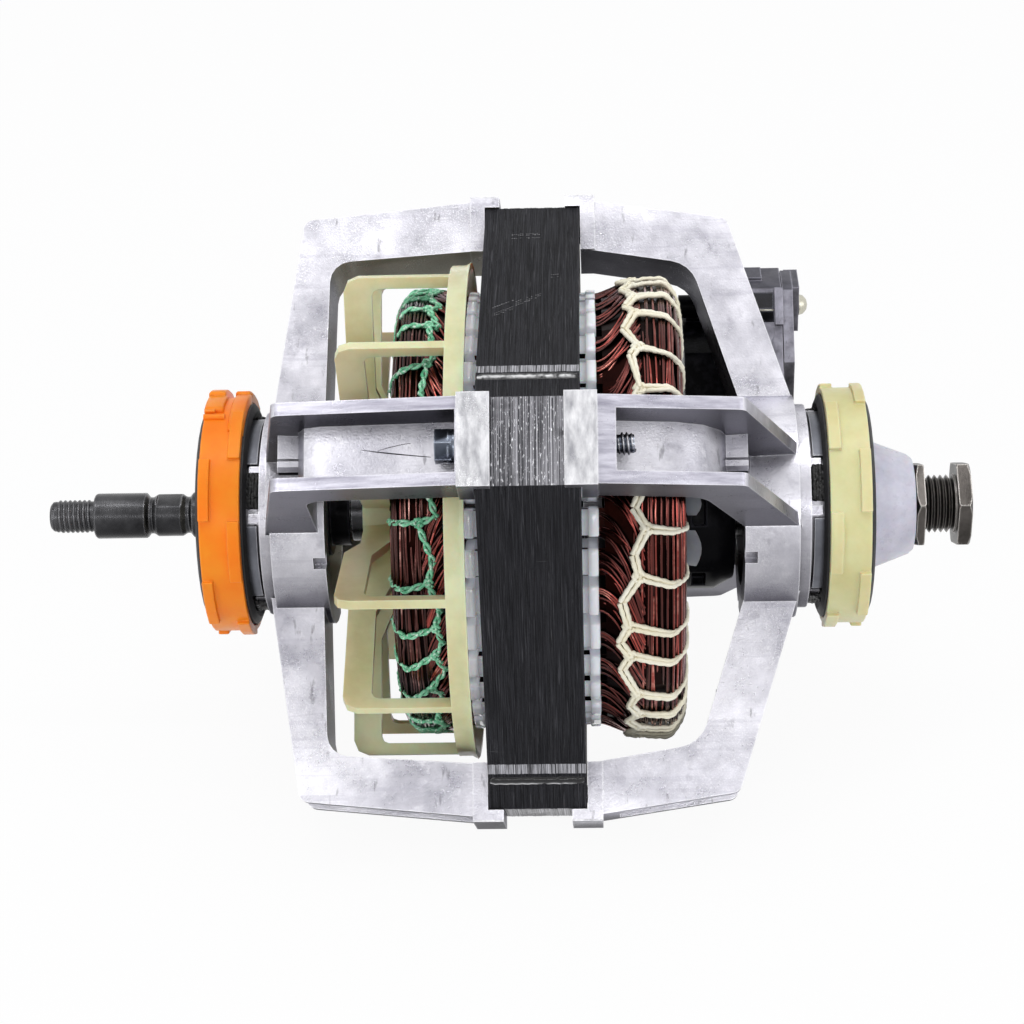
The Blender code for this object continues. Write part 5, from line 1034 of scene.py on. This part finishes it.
# %% [markdown]
# The blower end of the shaft carries a coarse thread for the fan wheel, and the through bolts have
# threaded tips that were rolled into the frame. A bump in the material would leave the outline smooth,
# so each thread is a real ridge wound round its rod.

# %% Threads
BOLT_CIRCLE = 79.5


def thread(target, start, end, core, crest, pitch, centre, sides):
    """A ridge from start to end in x, which fades in and out over one turn."""
    steps = int((end - start) / pitch * sides)
    rows = []
    for step in range(steps + 1):
        turn = math.tau * step / sides
        x = start + (end - start) * step / steps
        top = core + (crest - core) * min(1.0, step / sides, (steps - step) / sides)
        y, z = math.cos(turn), math.sin(turn)
        rows.append([at(x + along * pitch, centre[0] + reach * y, centre[1] + reach * z)
                     for along, reach in ((-0.46, core), (-0.08, top), (0.08, top), (0.46, core))])
    target.skin(rows, 0.5, closed=False)


threads = Strands()
thread(threads, -135.2, -124.0, 4.1, 4.62, 1.35, (0.0, 0.0), 28)
threads.piece("shaft_thread", LOOKS["shaft_steel"], "rotor")
tips = Strands()
for turn in range(4):
    angle = math.radians(45 + 90 * turn)
    centre = (BOLT_CIRCLE * math.cos(angle), BOLT_CIRCLE * math.sin(angle))
    thread(tips, 22.2, 26.6, 2.15, 2.95, 1.15, centre, 16)
tips.piece("bolt_threads", LOOKS["thread_steel"], "frame")

# %% [markdown]
# The cushion's rubber is pressed into the notches of the steel sleeve, where it tears and swells. A
# torn surface is hard to model, but four rough strands side by side read the same and stay in the notch.

# %% Rubber in the notches
SLEEVE_REACH = 26.1
rubber = Strands()
for name, end in (("blower_ring_sleeve", -1), ("pulley_ring_sleeve", 1)):
    low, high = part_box(name)
    start = (high[0] if end < 0 else low[0]) / MM - CENTRE.x
    for turn in range(4):
        for row in range(4):
            marks = [around_shaft(start + end * (0.2 + 0.8 * row + random.uniform(-0.15, 0.15)),
                                  SLEEVE_REACH + random.uniform(-0.25, 0.35), 90 * turn + 32.5 + 1.5 * step)
                     for step in range(15)]
            rubber.tube(marks, [random.uniform(0.7, 1.1) * MM for mark in marks], 8)
rubber.piece("notch_rubber", LOOKS["torn_rubber"], "frame")

# %% [markdown]
# Two scraps of slot film stick out behind the right end turns. Cloth simulation could curl them, but a
# sheet of a few rows that narrows to its ends and leans a little is enough for so small a thing.

# %% Film scraps
SCRAP_ROWS, SCRAP_COLUMNS, SCRAP_REACH = 6, 3, 47.0
scraps = Strands()
for x, angle, width, height in ((41.6, 55.5, 4.8, 6.0), (41.4, 69.5, 5.0, 9.0)):
    rows = []
    for row in range(SCRAP_ROWS + 1):
        share = row / SCRAP_ROWS
        half = width / 2 * math.sin(math.pi * (0.18 + 0.64 * share))
        climb = angle + math.degrees(height * (share - 0.5) / SCRAP_REACH)
        spots = [-half + 2 * half * column / SCRAP_COLUMNS for column in range(SCRAP_COLUMNS + 1)]
        rows.append([around_shaft(x + across * 0.9 + 0.5 * math.sin(3 * share),
                                  SCRAP_REACH + across * 0.4 + 1.5 * share, climb) for across in spots])
    scraps.skin(rows, 0.5, closed=False, caps=False)
scraps.piece("film_scraps", LOOKS["film"], "frame")

# %% [markdown]
# A tool slipped in one channel and left a forked score. Painting it would need an image, so each mark
# is a hair-thin line on the channel's floor, thinned to nothing at its ends.

# %% Scores in the channel
SCORES = (([(-42.3, -50.5, 52.0), (-37.5, -51.3, 51.7), (-31.1, -52.2, 51.4), (-24.5, -53.1, 51.2)], 0.16),
          ([(-38.0, -51.1, 51.9), (-36.5, -51.4, 51.5), (-33.8, -51.9, 51.3)], 0.13),
          ([(-38.2, -51.0, 52.0), (-34.4, -50.5, 52.8), (-30.9, -50.2, 53.4), (-27.5, -50.1, 53.7)], 0.09))
scores = Strands()
random.seed(31)
for marks, radius in SCORES:
    path = smooth_path([at(*mark) for mark in marks], 0.5)
    last = len(path) - 1
    sizes = [radius * MM * (0.15 + math.sin(math.pi * (0.08 + 0.84 * k / last))) for k in range(last + 1)]
    scores.tube(path, sizes, 6)
scores.piece("channel_scores", LOOKS["scratch"], "frame")

# %% [markdown]
# The top of the core carries a few pale chalk strokes from the bench. Chalk catches only the edges of
# the sheets, so a stroke is a row of dots with gaps in it, one dot to a sheet.

# %% Chalk strokes on the core
CORE_TOP, DOT, DOT_RADIUS, GAP_SHARE = 67.76, (0.34, 0.1), 0.045, 0.45
STROKES = (((-5.4, 34.2), (2.6, 34.6), 1.6, 6), ((-9.7, -6.5), (-3.2, -1.8), 0.9, 4),
           ((-9.2, -9.5), (-3.8, -5.8), 0.8, 3), ((-3.6, -4.0), (3.6, 0.6), 1.3, 4),
           ((5.6, 11.0), (8.4, 11.4), 0.8, 3))
strokes = Strands()
for (x0, y0), (x1, y1), spread, lines in STROKES:
    for line in range(lines):
        offset = random.uniform(-spread, spread)
        for sheet in range(int((x1 - x0) / pitch)):
            if random.random() < GAP_SHARE:
                continue
            x = x0 + sheet * pitch
            y = y0 + (y1 - y0) * (x - x0) / (x1 - x0) + offset + random.uniform(-0.15, 0.15)
            strokes.tube([at(x, y, CORE_TOP), at(x + DOT[0], y + DOT[1], CORE_TOP)], DOT_RADIUS * MM, 4)
strokes.piece("chalk_strokes", LOOKS["chalk"], "frame")

# %% [markdown]
# The blower end's band closes with a moulded clasp: a tall lug, a step, a cross ridge and a low lug
# beside them. They could be cut from a thicker ring, but curved blocks set on the band are simpler, and
# they break its outline just as well. Their angles are counted from the camera's line of sight, because
# the photograph shows them at the band's front.

# %% Clasp of the blower band
CAMERA_TILT, LUG_STEPS, LUG_FOOT = 33.34, 8, 30.5
clasp = Strands()


def lug(x_span, top, angles):
    """A curved block with its edges drawn in, between two x and two angles."""
    (x0, x1), rings = x_span, []
    for step in range(-1, LUG_STEPS + 2):
        share = min(max(step / LUG_STEPS, 0.0), 1.0)
        past_end = -0.7 if step < 0 else 0.7 if step > LUG_STEPS else 0
        angle = angles[0] + (angles[1] - angles[0]) * share - CAMERA_TILT + past_end
        outer = top - (0.5 if past_end else 0.0)
        rings.append([around_shaft(x, reach, angle) for x, reach in (
            (x0, LUG_FOOT), (x0, outer - 0.4), (x0 + 0.4, outer), (x1 - 0.4, outer), (x1, outer - 0.4),
            (x1, LUG_FOOT))])
    clasp.skin(rings, 0.5)


lug((-90.1, -85.5), 34.9, (-14, 13))
lug((-90.1, -84.9), 33.9, (13, 31))
lug((-83.2, -79.2), 34.4, (-14, 6))
lug((-82.9, -78.8), 33.6, (6, 46))
ridge = [around_shaft(x, 32.7, 36.0 - CAMERA_TILT) for x in (-90.0, -88.5, -87.0, -85.5, -84.2)]
clasp.tube(ridge, 1.0 * MM, 10)
clasp.piece("band_clasp", LOOKS["orange_plastic"], "frame")

# %% [markdown]
# The switch's plug has a raised rib worn pale, a shiny panel beside it, and one bent metal tab. They
# are thin blocks that stand on the sloping face.

# %% Details of the switch plug
PLUG_CORNER = (55.9, 38.7)
DOWN, OUT = Vector((0, -1, -1)).normalized(), Vector((0, -1, 1)).normalized()
BOX_FACES = [(0, 1, 3, 2), (4, 6, 7, 5), (0, 4, 5, 1), (2, 3, 7, 6), (0, 2, 6, 4), (1, 5, 7, 3)]


def block(name, x_span, down_span, stand, finish_name):
    """A block on the sloping face: x range, range down the slope, and how far it stands out."""
    verts = [at(*(Vector((x, *PLUG_CORNER)) + DOWN * run + OUT * lift))
             for x in x_span for run in down_span for lift in (-0.3, stand)]
    obj = mesh_piece(name, verts, BOX_FACES, [LOOKS[finish_name]], "frame")
    soft = obj.modifiers.new("soft", "BEVEL")
    soft.width, soft.segments = 0.2 * MM, 2


block("plug_rib", (68.9, 71.3), (0.3, 11.5), 1.2, "dusty_plastic")
block("plug_panel", (61.5, 68.7), (1.5, 6.6), 0.35, "shiny_plastic")
block("plug_recess", (61.5, 68.7), (7.2, 10.4), 0.15, "black_plastic")
block("plug_tab", (64.6, 68.7), (6.7, 7.1), 0.5, "zinc_steel")
print("4 details on the plug")

# %% [markdown]
# Cast edges are never sharp: the mould has a small radius, and handling rounds the rest. A narrow
# bevel on the hard edges catches the light the way they do. It is a modifier on a copy, because the
# solid part itself must stay as it is: its shape is what other parts touch.

# %% A part with rounded edges
def refined(name, width, sharp, body):
    """A copy of a part's mesh without its split corners, shaded smooth, with rounded hard edges."""
    mesh = nodes[name].data.copy()
    mesh.name = name + "_rounded"
    for layer in ("custom_normal", "sharp_face"):
        if layer in mesh.attributes:
            mesh.attributes.remove(mesh.attributes[layer])
    bm = bmesh.new()
    bm.from_mesh(mesh)
    bmesh.ops.remove_doubles(bm, verts=bm.verts, dist=2e-6)
    bmesh.ops.dissolve_limit(bm, angle_limit=math.radians(0.3), verts=bm.verts, edges=bm.edges)
    bm.to_mesh(mesh)
    bm.free()
    mesh.shade_smooth()
    mesh.set_sharp_from_angle(angle=math.radians(sharp))
    obj = bpy.data.objects.new(name + "_rounded", mesh)
    bpy.context.collection.objects.link(obj)
    soft = obj.modifiers.new("soft", "BEVEL")
    soft.width, soft.segments = width * MM, 2
    soft.limit_method = "ANGLE"
    soft.angle_limit = math.radians(sharp)
    soft.harden_normals = True
    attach(obj, body)
    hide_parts(name)


print("rounding ready")

# %% [markdown]
# Each part is given the width of its rounding in millimetres, and the angle in degrees from which an
# edge counts as hard. Castings get the widest, and screws and sleeves the narrowest.

# %% Rounded edges
FRAME_PARTS = {
    "blower_end_frame": (0.5, 30), "pulley_end_frame": (0.5, 30), "blower_ring_band": (0.4, 32),
    "pulley_ring_band": (0.4, 32), "blower_ring_cushion": (0.3, 32), "pulley_ring_cushion": (0.3, 32),
    "blower_ring_sleeve": (0.15, 32), "pulley_ring_sleeve": (0.15, 32), "switch_housing": (0.4, 30),
    "terminal_block": (0.4, 30), "switch_cover": (0.4, 30), "pulley_hub_cone": (0.3, 32),
    "blower_end_cap": (0.2, 32), "switch_screw_upper": (0.1, 40), "switch_screw_lower": (0.1, 40),
    "through_bolt_1": (0.25, 35), "through_bolt_2": (0.25, 35), "through_bolt_3": (0.25, 35),
    "through_bolt_4": (0.25, 35)}
ROTOR_PARTS = {"cage_fan": (0.5, 35), "rotor_shaft": (0.25, 28), "drive_pulley": (0.3, 30),
               "fan_collar": (0.3, 32)}
SPOOL_PARTS = {"governor_spool": (0.4, 32)}
for body, parts in (("frame", FRAME_PARTS), ("rotor", ROTOR_PARTS), ("spool", SPOOL_PARTS)):
    for name, (width, sharp) in parts.items():
        refined(name, width, sharp, body)
    print(len(parts), "parts of the", body, "with rounded edges")

# %% [markdown]
# The photograph is a bright catalogue picture. The floor and the world are plain white for the camera,
# for mirrors and for clear parts, while for all other light they are what they are: pale paper and a
# soft room. That way the background is white, the object gets no extra light, and its shadow stays.

# %% Which rays see white
scene = bpy.context.scene
WHITE = (1.0, 1.0, 1.0, 1.0)


def emptied(owner):
    owner.use_nodes = True
    for node in list(owner.node_tree.nodes):
        owner.node_tree.nodes.remove(node)
    return owner.node_tree


def shown(tree):
    """1 for the rays that should see the white background: from the camera, a mirror or a clear part."""
    rays = wire(tree, "ShaderNodeLightPath").outputs
    mirror = maths(tree, "MAXIMUM", rays["Is Camera Ray"], rays["Is Glossy Ray"])
    return maths(tree, "MAXIMUM", mirror, rays["Is Transmission Ray"])


print("rays sorted")

# %% [markdown]
# The floor is one large square that catches the soft shadow. Its white is a little short of full, so
# the shadow under the motor still shows.

# %% Floor
FLOOR_HALF, FLOOR_WHITE = 3.0, 0.94
mesh = bpy.data.meshes.new("floor")
corners = [(-FLOOR_HALF, -FLOOR_HALF, 0), (FLOOR_HALF, -FLOOR_HALF, 0), (FLOOR_HALF, FLOOR_HALF, 0),
           (-FLOOR_HALF, FLOOR_HALF, 0)]
mesh.from_pydata(corners, [], [(0, 1, 2, 3)])
floor = bpy.data.objects.new("floor", mesh)
bpy.context.collection.objects.link(floor)

paper = bpy.data.materials.new("floor_paper")
tree = emptied(paper)
diffuse = wire(tree, "ShaderNodeBsdfDiffuse", {"Color": (0.93, 0.93, 0.94, 1.0)})
glow = wire(tree, "ShaderNodeEmission", {"Color": WHITE, "Strength": 1.0})
seen = scaled(tree, shown(tree), FLOOR_WHITE)
both = wire(tree, "ShaderNodeMixShader", {0: seen, 1: diffuse.outputs[0], 2: glow.outputs[0]})
wire(tree, "ShaderNodeOutputMaterial", {"Surface": both.outputs[0]})
floor.data.materials.append(paper)
print("a white floor", 2 * FLOOR_HALF, "m wide")

# %% [markdown]
# The world lights the motor like a pale room from all sides, which keeps the darkest hollows readable.

# %% World
ROOM_LIGHT = 0.50
scene.world = bpy.data.worlds.new("studio")
tree = emptied(scene.world)
room = wire(tree, "ShaderNodeBackground", {"Color": (0.95, 0.96, 1.0, 1.0), "Strength": ROOM_LIGHT})
white = wire(tree, "ShaderNodeBackground", {"Color": WHITE, "Strength": 1.0})
both = wire(tree, "ShaderNodeMixShader", {0: shown(tree), 1: room.outputs[0], 2: white.outputs[0]})
wire(tree, "ShaderNodeOutputWorld", {"Surface": both.outputs[0]})
print("a room with a light of", ROOM_LIGHT)

# %% [markdown]
# A big soft light hangs above, and a softer one stands on the right. Two narrow strips draw bright
# lines along the shaft and the rings, and a low one in front opens the shadows, so metal shows white
# reflections and black parts keep their depth.

# %% Lamps
def lamp(name, size, power, place):
    """A rectangle of light in metres and watts, aimed at the middle of the motor."""
    data = bpy.data.lights.new(name, "AREA")
    data.shape = "RECTANGLE"
    data.size, data.size_y, data.energy = *size, power
    obj = bpy.data.objects.new(name, data)
    bpy.context.collection.objects.link(obj)
    obj.location = place
    obj.rotation_euler = (Vector((0.0, 0.0, 0.07)) - Vector(place)).to_track_quat("-Z", "Y").to_euler()


lamp("top_light", (0.9, 0.7), 2.3, (0.0, 0.12, 1.1))
lamp("right_light", (0.6, 0.6), 1.5, (0.95, -0.40, 0.45))
lamp("strip_light", (1.0, 0.05), 1.4, (0.0, -0.02, 0.98))
lamp("tall_light", (0.05, 1.2), 2.0, (-0.70, -0.52, 0.55))
lamp("front_light", (0.9, 0.12), 1.6, (0.12, -0.85, 0.58))
print(len(bpy.data.lights), "lamps")

# %% [markdown]
# The camera looks down at the motor from the front, a little over a third of a right angle above the
# floor, with a long lens so the circles stay round. Its small yaw, pitch and roll about the shaft come
# from fitting the photograph's straight edges.

# %% Camera
YAW, PITCH, ROLL, TILT = -0.0338, 0.0008, 0.015, math.radians(-33.34)
STAND, MIDDLE = Vector((0.01776, -0.72523, 0.0)), Vector((0.0082, 0.0, 0.070569))
side_way = Vector((math.cos(YAW), -math.sin(YAW), 0.0))
ahead = Vector((math.sin(YAW), math.cos(YAW), 0.0))
up = Vector((0.0, 0.0, 1.0))
forward = math.cos(PITCH) * ahead - math.sin(PITCH) * up
rise = math.sin(PITCH) * ahead + math.cos(PITCH) * up
right_way = math.cos(ROLL) * side_way - math.sin(ROLL) * rise
up_way = math.sin(ROLL) * side_way + math.cos(ROLL) * rise
tilt = Matrix.Rotation(TILT, 3, "X")
columns = [tilt @ right_way, tilt @ up_way, -(tilt @ forward)]
place = tilt @ STAND + MIDDLE
camera = bpy.data.objects.new("camera", bpy.data.cameras.new("camera"))
bpy.context.collection.objects.link(camera)
camera.data.lens, camera.data.sensor_width, camera.data.sensor_fit = 91.27, 36.0, "HORIZONTAL"
camera.matrix_world = Matrix.Translation(place) @ Matrix(columns).transposed().to_4x4()
scene.camera = camera
scene.view_settings.view_transform = "Standard"
print("the camera stands at", [round(v, 3) for v in place])
